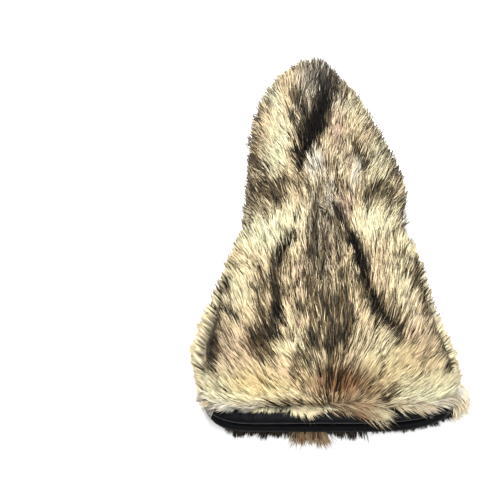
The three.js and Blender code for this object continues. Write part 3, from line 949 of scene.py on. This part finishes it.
def stop_at_seam(spine):
    """Shortens each hair whose tip would pass the seam line, so that it ends there."""
    root_x = spine[:, 0, 0]
    tip_x, tip_y = seen_at(spine[:, -1])
    line = np.where(tip_x < 0, np.interp(tip_y, SEAM_LINE[:, 0], SEAM_LINE[:, 1]),
                    np.interp(tip_y, SEAM_LINE[:, 0], SEAM_LINE[:, 2]))
    way = np.abs(tip_x) - np.abs(root_x)
    share = (np.abs(line) - np.abs(root_x)) / np.maximum(way, 0.5)
    share = np.where(np.abs(tip_x) > np.abs(line), np.clip(share, LEAST_LEFT, 1), 1)
    return spine[:, :1] + (spine - spine[:, :1]) * share[:, None, None]


# %% [markdown]
# ## Growing hair
# What the eye sees as one hair is a lock of a few hairs, a millimetre or two thick. Each is a slim
# three-sided spike here, closed at its root. A short one is bent once and has ten triangles, and a
# long one is bent twice and has sixteen. Tens of thousands of them are worked out at once as arrays.
# Roots are strewn evenly over the under-fur. Hairs lean together in clumps, as real fur does, and the
# clumps make the light and dark flecks.

# %% Strewing the roots
FINE_GRID = (240, 200)


def strewn(first_y, last_y, angles, count):
    """Roots at random on the under-fur, each cell of a fine grid drawn as often as its area asks.
    Gives each root's point, its normal, and its two distances along the surface, for the clumps."""
    rows = np.linspace(row_at(first_y), row_at(last_y), FINE_GRID[0])[:, None]
    turn = np.linspace(angles[0], angles[1], FINE_GRID[1])[None, :]
    points = layer(rows, turn, pile_at(rows, UNDER["side"]), pile_at(rows, UNDER["top"]), UNDER["tip"])
    along = np.gradient(points, axis=0)
    round_it = np.gradient(points, axis=1)
    normal = np.cross(along, round_it) * -1
    area = np.linalg.norm(normal, axis=-1)
    normal = normal / np.maximum(area, 1e-9)[..., None]
    far = np.cumsum(np.linalg.norm(along, axis=-1), 0)
    wide = np.cumsum(np.linalg.norm(round_it, axis=-1), 1)
    wide = wide - wide[:, [wide.shape[1] // 2]]
    cell = area[:-1, :-1].ravel()
    drawn = rng.choice(len(cell), count, p=cell / cell.sum())
    i, j = np.divmod(drawn, area.shape[1] - 1)
    u, v = rng.random((2, count, 1))

    def between(values):
        """The grid's values at each root, straight between the corners of its cell."""
        values = values if values.ndim == 3 else values[..., None]
        one = values[i, j] * (1 - v) + values[i, j + 1] * v
        two = values[i + 1, j] * (1 - v) + values[i + 1, j + 1] * v
        return one * (1 - u) + two * u

    normals = between(normal)
    normals /= np.linalg.norm(normals, axis=1, keepdims=True)
    print(f"  {count / area.sum():.2f} hairs on each square mm")
    return between(points), normals, np.concatenate([between(far), between(wide)], 1)


# %% Clumps
# length and width of the near clumps, and of the far ones
CLUMPS = ((11.0, 3.4), (26.0, 12.0))


def clump(grid, size, seed):
    """The clump of each root: the surface is cut into cells, each with one clump at a random place in
    it, and a root joins the nearest of the nine about it. Gives the way back to the clump's middle, and
    four random numbers that all hairs of a clump share."""
    size = np.array(size)
    home = np.floor(grid / size).astype(int)
    cells = home - home.min(0) + 2
    shape = tuple(cells.max(0) + 3)
    local = np.random.default_rng(seed)
    middle = local.random((*shape, 2))
    traits = local.random((*shape, 4))
    best = np.full(len(grid), np.inf)
    back = np.zeros_like(grid)
    shared = np.zeros((len(grid), 4))
    for step in ((di, dj) for di in (-1, 0, 1) for dj in (-1, 0, 1)):
        at = cells + step
        centre = (home + step + middle[at[:, 0], at[:, 1]]) * size
        gap = centre - grid
        distance = ((gap / size) ** 2).sum(1)
        nearer = distance < best
        best = np.where(nearer, distance, best)
        back[nearer] = gap[nearer]
        shared[nearer] = traits[at[:, 0], at[:, 1]][nearer]
    return back, shared


# %% Spikes
SIDES = 3
LONG_HAIR = {"at": np.array([0.0, 0.38, 0.74]), "width": np.array([0.7, 1.0, 0.72]),
             "climb": np.array([1.5, 0.85, 0.35]), "drawn": np.array([0, 0.12, 0.55, 1.0])}
SHORT_HAIR = {"at": np.array([0.0, 0.55]), "width": np.array([0.8, 1.0]),
              "climb": np.array([1.35, 0.45]), "drawn": np.array([0, 0.35, 1.0])}


def spikes(spine, width, shape, normal):
    """Three points round each of the first places of the spine, and one at its tip. The rings lie
    square to the hair, which is turned about its own length at random."""
    count, rings = len(spine), spine.shape[1] - 1
    ahead = unit(spine[:, -1] - spine[:, 0])
    across = unit(np.cross(normal, ahead))
    upright = np.cross(ahead, across)
    angle = rng.random(count)[:, None] * 2 * np.pi + np.arange(SIDES) * 2 * np.pi / SIDES
    out = np.cos(angle)[..., None] * across[:, None] + np.sin(angle)[..., None] * upright[:, None]
    radius = (width[:, None] * shape["width"] / 2)[:, :, None, None]
    ring_points = spine[:, :-1, None] + out[:, None] * radius
    points = np.concatenate([ring_points.reshape(count, -1, 3), spine[:, -1:]], 1)
    start = np.arange(count)[:, None, None] * (rings * SIDES + 1)
    one = np.arange(SIDES)
    two = (one + 1) % SIDES
    wall = np.stack([one, two, two + SIDES, one + SIDES], 1)
    walls = np.concatenate([wall + SIDES * k for k in range(rings - 1)])
    top = SIDES * (rings - 1)
    point = np.stack([one + top, two + top, np.full(SIDES, rings * SIDES)], 1)
    faces = [start + walls, start + point, start + np.array([[2, 1, 0]])]
    return points.reshape(-1, 3), [f.reshape(-1, f.shape[-1]) for f in faces]


# %% Kinds of hair
#             share, width, length, least lift, most lift, in mm and degrees
GUARD_HAIRS = np.array([
    [0.55, 1.10, 23.0, 10.0, 22.0],
    [0.35, 0.85, 20.0, 8.0, 26.0],
    [0.10, 0.50, 28.0, 15.0, 30.0],
])
UNDER_HAIRS = np.array([[1.0, 1.75, 19.0, 7.0, 13.0]])
ROOT_DEPTH = 1.5
STEEPEST = 0.85
FAR_PULL = 0.2
OFF_FLOOR, TIP_SCATTER = 0.25, 0.6


def under_hairs(width, length):
    """The under-hairs' kind, with its width and length scaled."""
    return UNDER_HAIRS * [1, width, length, 1, 1]


def hair_spines(roots, turn, kinds, shape, size=1.0, most=0.3, droop=0.0, stray=14.0, pull=0.5,
                uneven=0.2, clumps=CLUMPS):
    """Places along hairs that lie at 'turn' from +Y, lifted off the skin most at their roots and drawn
    together in clumps. 'most' is the sine of the steepest lift, where the lie points off the surface.
    A clump's own direction strays by so many degrees in all, and its length by so large a share."""
    point, normal, grid = roots
    count = len(point)
    near, near_traits = clump(grid, clumps[0], 5)
    far, far_traits = clump(grid, clumps[1], 9)
    kind = rng.choice(len(kinds), count, p=kinds[:, 0])
    _, width, length, least, greatest = kinds[kind].T
    turn = turn + np.radians((near_traits[:, 0] - 0.5 + far_traits[:, 0] - 0.5) * stray)
    turn += np.radians(rng.normal(0, 1, count) * stray / 4)
    ahead = np.stack([np.sin(turn), np.cos(turn), np.zeros(count)], 1)
    lean = (ahead * normal).sum(1)
    flat = unit(ahead - lean[:, None] * normal)
    share = 0.4 * near_traits[:, 1] + 0.6 * rng.random(count)
    rise = np.sin(np.radians(least + (greatest - least) * share))
    away = np.clip(lean, rise, np.maximum(most, rise))
    long = 0.98 - uneven + uneven * near_traits[:, 2] + 0.14 * far_traits[:, 1]
    long += 0.6 * uneven * rng.random(count)
    steps = np.diff(np.append(shape["at"], 1.0))
    climb = np.clip(away[:, None] * shape["climb"], 0, STEEPEST)
    moves = np.sqrt(1 - climb**2)[..., None] * flat[:, None] + climb[..., None] * normal[:, None]
    moves *= ((size * length * long)[:, None] * steps)[..., None]
    base = point - normal * ROOT_DEPTH
    spine = np.concatenate([base[:, None], base[:, None] + np.cumsum(moves, 1)], 1)
    lengthwise = unit(np.array([0, 1.0, 0]) - normal[:, 1:2] * normal)
    crosswise = np.cross(lengthwise, normal)
    sideways = pull * near + FAR_PULL * far
    sideways = sideways[:, :1] * lengthwise - sideways[:, 1:] * crosswise
    spine += shape["drawn"][None, :, None] * sideways[:, None]
    spine[..., 2] -= np.reshape(droop, (-1, 1)) * shape["drawn"] ** 1.5
    clear = OFF_FLOOR + 0.5 * width[:, None] + TIP_SCATTER * rng.random((count, 1)) * shape["drawn"]
    spine[..., 2] = np.maximum(spine[..., 2], clear)
    return spine, width, near_traits


def hair_field(name, roots, turn, look, slot, kinds=GUARD_HAIRS, shape=SHORT_HAIR, trim=None, **how):
    """One piece of hair: spines, spikes round them, and their colours."""
    spine, width, traits = hair_spines(roots, turn, kinds, shape, **how)
    spine = trim(spine) if trim else spine
    points, faces = spikes(spine, width * (0.8 + 0.4 * rng.random(len(width))), shape, roots[1])
    new_piece(name, points, faces, guard_hair, look(spine, traits))


# %% [markdown]
# ## The colour of each hair
# A coyote's hair isn't one colour from end to end. It is dark at the root, pale in the middle and often
# dark at the tip, and it is that banding which makes the coat look flecked. Each hair takes its
# colours where its own tip half lies on the chart, so the markings keep clean edges.

# %% Looks of the two pelts
# colour at a hair's root as a share of its full colour: the hair's own dark base, deepened as painted shade
# low in the pile
ROOT_STRENGTH = 0.2
HAND_Y = 190.0
TIP_WEIGHT = 0.6
CHART_BLUR = 1.6
CLUMP_SHARE, OWN_SHARE, EVEN_OUT = 0.52, 0.54, 0.03
# the mid-brown hairs and their colour: partly the coat's own mid-brown hairs, partly painted shade for the
# dark lines between pale hairs
SHADED_MORE, SHADED_ANYWHERE = 1.2, 0.09
MID_BROWN_AND_PAINTED_SHADE = np.array([0.38, 0.33, 0.27])
DEEP_STRENGTH = 0.2
SOLID_DARK = 0.8
DARK_TIPS = {"anywhere": 0.1, "hand": 0.26, "dark": 0.3, "rim": 0.2}
# share of dark hairs at places along the palm's sides
PALM_DARKNESS = ((20, 108, 128, 375), (0.04, 0.08, 0.34, 0.36))


def banded(spine, colour, tip_colour, chance):
    """Strengths that run from the dark root to the full colour at three quarters of the hair: the hair's
    own dark base, deepened as painted shade low in the pile. A share of the hairs has a tip of another
    colour. One colour for each ring, and one for the tip."""
    rings = spine.shape[1] - 1
    strength = ROOT_STRENGTH + (1 - ROOT_STRENGTH) * np.clip(np.linspace(0, 1.33, rings + 1), 0, 1)
    bands = colour[:, None] * strength[None, :, None]
    tipped = rng.random(len(colour)) < chance
    bands[tipped, -1] = np.broadcast_to(tip_colour, colour.shape)[tipped]
    bands = np.clip(bands, 0, 1)
    ring_colours = np.repeat(bands[:, :-1], SIDES, 1)
    return np.concatenate([ring_colours, bands[:, -1:]], 1).reshape(-1, 3)


def back_look(spine, traits):
    """A hair is dark when its number, shared in part with its clump, is below the chart's darkness.
    It is mid-brown when the number is a little above that, partly the coat's own mid-brown hairs and
    partly painted shade for the dark lines between pale hairs, and bright otherwise. Dark tips are more
    likely on the hand, near the rim and among dark hairs."""
    count = len(spine)
    seen = (1 - TIP_WEIGHT) * spine[:, -2] + TIP_WEIGHT * spine[:, -1]
    chance = darkness_at(seen + rng.normal(0, CHART_BLUR, seen.shape))
    number = np.clip(CLUMP_SHARE * traits[:, 3] + OWN_SHARE * rng.random(count) - EVEN_OUT, 0, 1)
    dark = (number < chance)[:, None]
    # mid-brown hairs, partly painted shade between the pale hairs
    shade = (number < SHADED_MORE * chance + SHADED_ANYWHERE)[:, None]
    pale = pale_at(seen)
    bright = pale * (0.86 + 0.4 * rng.random((count, 1)))
    mid_brown_and_painted_shade = pale * MID_BROWN_AND_PAINTED_SHADE * (0.6 + 0.6 * rng.random((count, 1)))
    tone = rng.random((count, 1)) ** 2
    deep = BLACK * (1 - tone) + pale * DEEP_STRENGTH * tone
    deep = np.where((chance > SOLID_DARK)[:, None], BLACK * (0.6 + 0.6 * tone), deep)
    colour = np.where(dark, deep, np.where(shade, mid_brown_and_painted_shade, bright))
    rim = np.clip((np.abs(share_across(spine[:, -1])) - 0.8) / 0.2, 0, 1) * (spine[:, -1, 1] > HAND_Y)
    hand = np.clip((spine[:, -1, 1] - HAND_Y) / 20, 0, 1)
    tips = DARK_TIPS["anywhere"] + DARK_TIPS["hand"] * hand + DARK_TIPS["dark"] * chance
    return banded(spine, colour, DEEP_BROWN * 0.6, tips + DARK_TIPS["rim"] * rim)


def plain_look(low, high):
    """A look between two colours, light and dark by clumps."""

    def look(spine, traits):
        share = np.clip(0.5 * traits[:, 3] + 0.8 * rng.random(len(spine)) - 0.2, 0, 1)[:, None]
        colour = (low * (1 - share) + high * share) * (0.8 + 0.3 * rng.random((len(spine), 1)))
        return banded(spine, colour, DEEP_BROWN, 0.0)

    return look


def painted_shade_look(spine, traits):
    """The back's colours darkened to 0.7: painted shade for the under-hairs that lie between the outer
    hairs.
    """
    return back_look(spine, traits) * 0.7


def palm_look(spine, traits):
    """Cream at the cuff's sides, and flecked with dark hairs and dark tips along the hand."""
    chance = np.interp(spine[:, -1, 1], *PALM_DARKNESS)
    number = np.clip(0.4 * traits[:, 3] + 0.7 * rng.random(len(spine)) - 0.05, 0, 1)
    dull = BEIGE * PALM_STRENGTH
    pale = dull + (CREAM - dull) * rng.random((len(spine), 1))
    colour = np.where((number < chance)[:, None], GREY_BROWN * 0.6, pale)
    return banded(spine, colour, DEEP_BROWN, 1.2 * chance)


# %% Hair of the back
SEAM_TURN = {"right": 0.42, "left": 0.5}
ACROSS_BACK = (math.pi - SEAM_TURN["left"], SEAM_TURN["right"])
roots = strewn(11.0, 372.0, ACROSS_BACK, 12000)
# the under-hairs take the back's colours darkened: painted shade between the outer hairs
hair_field("back_under_hair", roots, flow_at(roots[0]), painted_shade_look, "back_fur", UNDER_HAIRS,
           trim=stop_at_seam)
BACK_PARTS = {"cuff": (11.0, 80.0, 17500), "wrist": (80.0, 185.0, 17500), "hand": (185.0, 372.0, 18500)}
for part, (first, last, count) in BACK_PARTS.items():
    roots = strewn(first, last, ACROSS_BACK, count)
    long_tip = np.interp(roots[0][:, 1], [330, 372], [1.0, 1.04])
    rough = np.interp(roots[0][:, 1], [60, 200], [14, 26])
    ragged = np.interp(np.abs(share_across(roots[0])), [0.7, 0.92], [0.35, 0.16])
    hair_field(f"back_hair_{part}", roots, flow_at(roots[0]), back_look, "back_fur", size=long_tip,
               trim=stop_at_seam, stray=rough, uneven=ragged)

# %% Hair of the palm's sides
SIDE_ROOTS = {"right": (0.4, -0.75), "left": (math.pi + 0.75, math.pi - 0.4)}
# places along the mitten, and the share of the full length that the hair has there
SIDE_LENGTH = ((15, 40, 80, 320, 368), (0.45, 0.9, 1.1, 1.1, 0.8))
for side, angles in SIDE_ROOTS.items():
    roots = strewn(14.0, 368.0, angles, 4800)
    hair_field(f"palm_hair_{side}", roots, fanned(roots[0]), palm_look, "palm_fur",
               kinds=under_hairs(0.75, 1), size=np.interp(roots[0][:, 1], *SIDE_LENGTH), most=0.4)

# %% Stray dark hairs along the hand's rim
RIM_ROOTS = {"right": (0.75, 0.1), "left": (math.pi - 0.1, math.pi - 0.75)}
RIM_OUTWARD = 6
for side, angles in RIM_ROOTS.items():
    roots = strewn(196.0, 370.0, angles, 400)
    turn = flow_at(roots[0]) + np.radians(RIM_OUTWARD * np.sign(roots[0][:, 0]))
    hair_field(f"rim_hair_{side}", roots, turn, plain_look(DEEP_BROWN, GREY_BROWN * 1.6), "back_fur",
               kinds=under_hairs(0.55, 1.2), stray=30.0, pull=0.3, uneven=0.5, most=0.5)

# %% Hair of the fingertip's front and of the lower lip
roots = strewn(350.0, 374.6, (-0.1, 0.1 - math.pi), 900)
hair_field("tip_hair", roots, fanned(roots[0]), palm_look, "palm_fur", kinds=under_hairs(0.7, 0.8),
           most=0.8)

# shares of the half width, and how long the lip's hair is and how much further it turns there
LIP_LENGTH = ((-0.85, -0.72, 0.3, 0.5, 0.75, 0.9), (0.45, 1.1, 1.1, 0.75, 0.65, 1.05))
LIP_FAN, LIP_CORNER = 24, ((0.75, 0.98), (0, 26))
roots = strewn(11.0, 22.0, (-0.3, 0.3 - math.pi), 3900)
share = share_across(roots[0])
turn = np.radians(180 - LIP_FAN * share - np.interp(share, *LIP_CORNER))
# the lip's hair is black to deep brown: painted shade of the palm's fur in shadow under the binding's lower
# lip
hair_field("lip_hair", roots, turn, plain_look(BLACK, DEEP_BROWN * 2.0), "palm_fur",
           kinds=under_hairs(0.9, 0.95), size=np.interp(share, *LIP_LENGTH), most=0.8, stray=10.0,
           pull=0.05, uneven=0.15)

# %% Pressed hair under the palm and the thumb
def off_the_thumb(roots, room):
    """Roots that don't lie under the thumb's outline."""
    x, y = roots[0][:, 0], roots[0][:, 1]
    half = np.interp(y - THUMB_Y, THUMB[:, 0], THUMB[:, 1], left=-room, right=-room)
    away = np.abs(x - THUMB_X) > half + room
    return tuple(values[away] for values in roots)


roots = off_the_thumb(strewn(14.0, 366.0, (-0.7, 0.7 - math.pi), 3400), 2.0)
roots[0][:, 2] = np.maximum(roots[0][:, 2], BELLY_LIFT)
hair_field("belly_hair", roots, 0.5 * fanned(roots[0]), palm_look, "palm_fur",
           kinds=under_hairs(1.3, 1.2))

y = rng.uniform(4, 90, 700)
x = THUMB_X + np.interp(y, THUMB[:, 0], THUMB[:, 1]) * rng.uniform(-0.85, 0.85, len(y))
under_thumb = np.stack([x, y + THUMB_Y, np.full(len(y), BELLY_LIFT)], 1)
roots = (under_thumb, np.tile([0.0, 0.0, -1.0], (len(y), 1)), np.stack([y, x], 1))
hair_field("thumb_hair", roots, np.radians(0.8 * (x - THUMB_X)), palm_look, "thumb_fur",
           kinds=under_hairs(1.2, 0.8))

# %% [markdown]
# ## Fur over the edge of the cuff
# At the cuff the hair parts along a line. Behind it the hair lies towards the hand, and in front of it
# tufts fall forward over the leather: a cream one left of the middle, a beige one right of it, and
# white ones that sweep out to both corners. Below the cuff a few brown hairs of the palm peep out.

# %% Tufts along the cuff
#    colours, from x, to x, root y, turn at from, turn at to, length, hairs, droop
TUFTS = (
    ("white", -106, -56, (13, 21), -84, -92, 21, 420, 1),
    ("grey", -106, -62, (12, 15), -96, -110, 11, 180, 1),
    ("mixed", -64, -32, (12, 15), -125, -170, 8, 200, 2),
    ("grey", -122, -104, (14, 24), -112, -126, 16, 120, 4),
    ("cream", -38, -12, (12, 16), 118, 140, 17, 240, 3),
    ("cream", -30, -12, (12, 16), 178, 160, 16, 190, 2),
    ("mixed", -4, 14, (12, 15), 155, 130, 8, 90, 1),
    ("beige", 12, 38, (12, 17), 112, 130, 32, 250, 5),
    ("brown", 0, 28, (13, 19), 102, 110, 23, 150, 2),
    ("cream", 32, 48, (12, 17), 122, 134, 30, 160, 7),
    ("cream", 66, 92, (12, 17), 118, 114, 22, 90, 5),
    ("white", 84, 106, (12, 17), 122, 112, 23, 160, 6),
    ("white", 106, 124, (12, 17), 108, 98, 22, 120, 4),
)
TUFT_COLOURS = {
    "white": (BEIGE * 0.85, WHITE),
    "grey": (GREY_BROWN, WHITE),
    "mixed": (DEEP_BROWN, CREAM),
    "cream": (BEIGE * 0.75, CREAM),
    "brown": (BROWN * 0.6, BEIGE),
    "beige": (BROWN, BEIGE),
}
FRINGE_HAIRS = np.array([
    [0.6, 0.95, 1.0, 10.0, 22.0],
    [0.4, 0.60, 1.1, 14.0, 30.0],
])
LOOSE = {"stray": 24.0, "pull": 0.9, "uneven": 0.55, "clumps": ((9.0, 6.0), (26.0, 14.0))}
WIDEST_ROOT = 0.985
SMALL = 0.01
HAIR_CLEAR = 1.2
SOFT_END = 0.08


def on_under_fur(row, angle):
    """Points on the under-fur's face near the cuff."""
    return layer(row, angle, pile_at(row, UNDER["side"]), pile_at(row, UNDER["top"]), 0.0, 0.0)


def edge_roots(x, y):
    """Roots on the under-fur at given places across and along: the superellipse solved for its angle.
    The normal is square to two small steps along the face."""
    row = row_at(y)
    data = section(row)
    half = data[:, HALF] + pile_at(row, UNDER["side"])
    share = np.clip((x - data[:, CENTRE]) / half, -WIDEST_ROOT, WIDEST_ROOT)
    angle = np.arccos(np.sign(share) * np.abs(share) ** (ROUND_TOP / 2))
    here = on_under_fur(row, angle)
    along = on_under_fur(row + SMALL, angle) - here
    aside = on_under_fur(row, angle - SMALL) - here
    return here, unit(np.cross(aside, along)), np.stack([y, x], 1)


def over_binding(spine):
    """Lifts hairs onto the leather: over the strip's flat part they keep a little above its outer
    face, over its round nose they follow the nose's circle, and in front of it they hang free."""
    x, y = spine[..., 0], spine[..., 1]
    data = section(row_at(np.maximum(y, 0)))
    share = np.clip(np.abs(x - data[..., CENTRE]) / (data[..., HALF] + BINDING_OUT), 0, 1)
    waist = waist_of(data)
    rise = (data[..., HIGH] + BINDING_OUT - waist) * (1 - share**ROUND_TOP) ** (1 / ROUND_TOP)
    bow_power = np.where(x > data[..., CENTRE], BOW_POWER_RIGHT, BOW_POWER_LEFT)
    bow = data[..., BOW] * share ** (ROUND_TOP / 2 * bow_power)
    radius = (BINDING_OUT - BINDING_IN) / 2
    ahead = np.clip(BINDING_FRONT + radius + bow - y, 0, radius)
    drop = radius - np.sqrt(radius**2 - ahead**2)
    on_top = (ahead < radius) & (y < BINDING_BACK + bow + 1) & (share < 1)
    least = waist + rise - drop + HAIR_CLEAR
    spine[..., 2] = np.where(on_top, np.maximum(spine[..., 2], least), spine[..., 2])
    return spine


fringe_points, fringe_faces, fringe_colours = [], [], []
placed = 0
for colour, from_x, to_x, (from_y, to_y), from_turn, to_turn, length, hairs, droop in TUFTS:
    share = rng.random(hairs) + SOFT_END * rng.normal(size=hairs)
    x = from_x + (to_x - from_x) * share
    sweep = (to_turn - from_turn + 180) % 360 - 180
    roots = edge_roots(x, from_y + (to_y - from_y) * rng.random(hairs))
    turn = np.radians(from_turn + sweep * share)
    kinds = FRINGE_HAIRS * [1, 1, length, 1, 1]
    spine, width, traits = hair_spines(roots, turn, kinds, LONG_HAIR, most=0.55, droop=droop, **LOOSE)
    points, faces = spikes(over_binding(spine), width, LONG_HAIR, roots[1])
    fringe_points.append(points)
    fringe_faces += [f + placed for f in faces]
    fringe_colours.append(plain_look(*TUFT_COLOURS[colour])(spine, traits))
    placed += len(points)
new_piece("cuff_fringe", np.concatenate(fringe_points), fringe_faces, guard_hair,
          np.concatenate(fringe_colours))

# %% Pale hairs at the right corner
CORNER_TUFT = {"first": 13.0, "last": 34.0, "angles": (0.3, -0.5), "hairs": 520, "turn": 128.0}
roots = strewn(CORNER_TUFT["first"], CORNER_TUFT["last"], CORNER_TUFT["angles"], CORNER_TUFT["hairs"])
turn = np.radians(CORNER_TUFT["turn"] + 14 * rng.normal(size=CORNER_TUFT["hairs"]))
hair_field("corner_tuft", roots, turn, plain_look(BEIGE, WHITE), "palm_fur", shape=LONG_HAIR,
           kinds=under_hairs(0.6, 1.3), most=0.7, droop=2.0, uneven=0.4, stray=24.0)

# %% Brown hairs under the cuff
PALM_TUFTS = {"middles": (-24.0, -7.0), "half": 6.0, "y": (12, 20), "length": 1.65, "hairs": 320}
x = rng.choice(PALM_TUFTS["middles"], PALM_TUFTS["hairs"])
x = x + PALM_TUFTS["half"] * rng.uniform(-1, 1, len(x))
y = rng.uniform(*PALM_TUFTS["y"], len(x))
front = np.stack([x, y, 2.0 + 5.0 * rng.random(len(x))], 1)
forward = np.tile([0.0, -1.0, 0.3], (len(x), 1))
roots = (front, unit(forward), np.stack([y, x], 1))
turn = np.radians(180 + 3 * rng.normal(size=len(x)))
hair_field("palm_tuft", roots, turn, plain_look(BROWN * 0.9, BEIGE * 0.7), "palm_fur", shape=LONG_HAIR,
           size=PALM_TUFTS["length"], most=0.95, droop=3.0, stray=8.0)

# %% [markdown]
# ## Camera, floor and light
# The picture was taken from high in front of the cuff with a long lens, so the mitten shows almost no
# perspective. The light is that of a white studio: a broad soft lamp above and behind the mitten, a
# weaker one in front of it, and white all round.

# %% Camera
IMAGE_SIZE = (493, 500)
MM_PER_PIXEL = 1.02
MIDDLE_X_PIXEL, ORIGIN_Y_PIXEL = 322.0, 429.4
FOCAL, SENSOR = 250.0, 36.0
aim_x = (IMAGE_SIZE[0] / 2 - MIDDLE_X_PIXEL) * MM_PER_PIXEL
seen_height = (ORIGIN_Y_PIXEL - IMAGE_SIZE[1] / 2) * MM_PER_PIXEL
AIM_Z = 30.0
aim_y = (seen_height - math.cos(ELEVATION) * AIM_Z) / math.sin(ELEVATION)
aim = (np.array([aim_x, aim_y, AIM_Z]) + SHIFT) * MM
distance = FOCAL / SENSOR * max(IMAGE_SIZE) * MM_PER_PIXEL * MM
camera_data = bpy.data.cameras.new("camera")
camera_data.lens = FOCAL
camera_data.sensor_width = SENSOR
camera_data.clip_end = 20
camera = bpy.data.objects.new("camera", camera_data)
bpy.context.scene.collection.objects.link(camera)
camera.location = aim + distance * np.array([0, -math.cos(ELEVATION), math.sin(ELEVATION)])
camera.rotation_euler = (math.pi / 2 - ELEVATION, 0, 0)
bpy.context.scene.camera = camera
print("camera at", [round(v, 3) for v in camera.location])

# %% Floor
floor_material, floor_tree, floor_shader = new_material("white_floor", 0.8, 0.1)
floor_noise = texture(floor_tree, "ShaderNodeTexNoise", Scale=3.0)
floor_colour = mixed(floor_tree, (0.93, 0.93, 0.93), (0.97, 0.97, 0.97), floor_noise.outputs["Fac"])
floor_tree.links.new(floor_colour, floor_shader.inputs["Base Color"])
floor_mesh = bpy.data.meshes.new("floor")
REACH = 4.0
floor_mesh.from_pydata([(-REACH, -REACH, 0), (REACH, -REACH, 0), (REACH, REACH, 0), (-REACH, REACH, 0)],
                       [], [(0, 1, 2, 3)])
floor_mesh.materials.append(floor_material)
floor = bpy.data.objects.new("floor", floor_mesh)
bpy.context.scene.collection.objects.link(floor)

# %% Light
def lamp(name, place, size, power):
    """A square soft lamp that faces the mitten."""
    data = bpy.data.lights.new(name, "AREA")
    data.size = size
    data.energy = power
    made = bpy.data.objects.new(name, data)
    bpy.context.scene.collection.objects.link(made)
    made.location = place
    toward = -np.array(place, float)
    toward /= np.linalg.norm(toward)
    made.rotation_euler = (
        math.acos(-toward[2]), 0, math.atan2(toward[1], toward[0]) - math.pi / 2)


lamp("key_lamp", (-0.3, 1.0, 1.6), 0.7, 70)
lamp("fill_lamp", (0.6, -0.8, 1.8), 1.4, 28)
world = bpy.data.worlds.new("white_studio")
world.use_nodes = True
world.node_tree.nodes["Background"].inputs["Color"].default_value = (1, 1, 1, 1)
world.node_tree.nodes["Background"].inputs["Strength"].default_value = 0.9
bpy.context.scene.world = world
bpy.context.scene.view_settings.view_transform = "Standard"

# %% [markdown]
# ## Last step
# The number of triangles in all the pieces, and in the largest one, is printed. The dressed mitten
# has to keep close to the box of the solids, which only loose hairs may pass.

# %% Triangle counts
print("triangles in all:", sum(TRIANGLES.values()), "and the most in a piece:", max(TRIANGLES.values()))
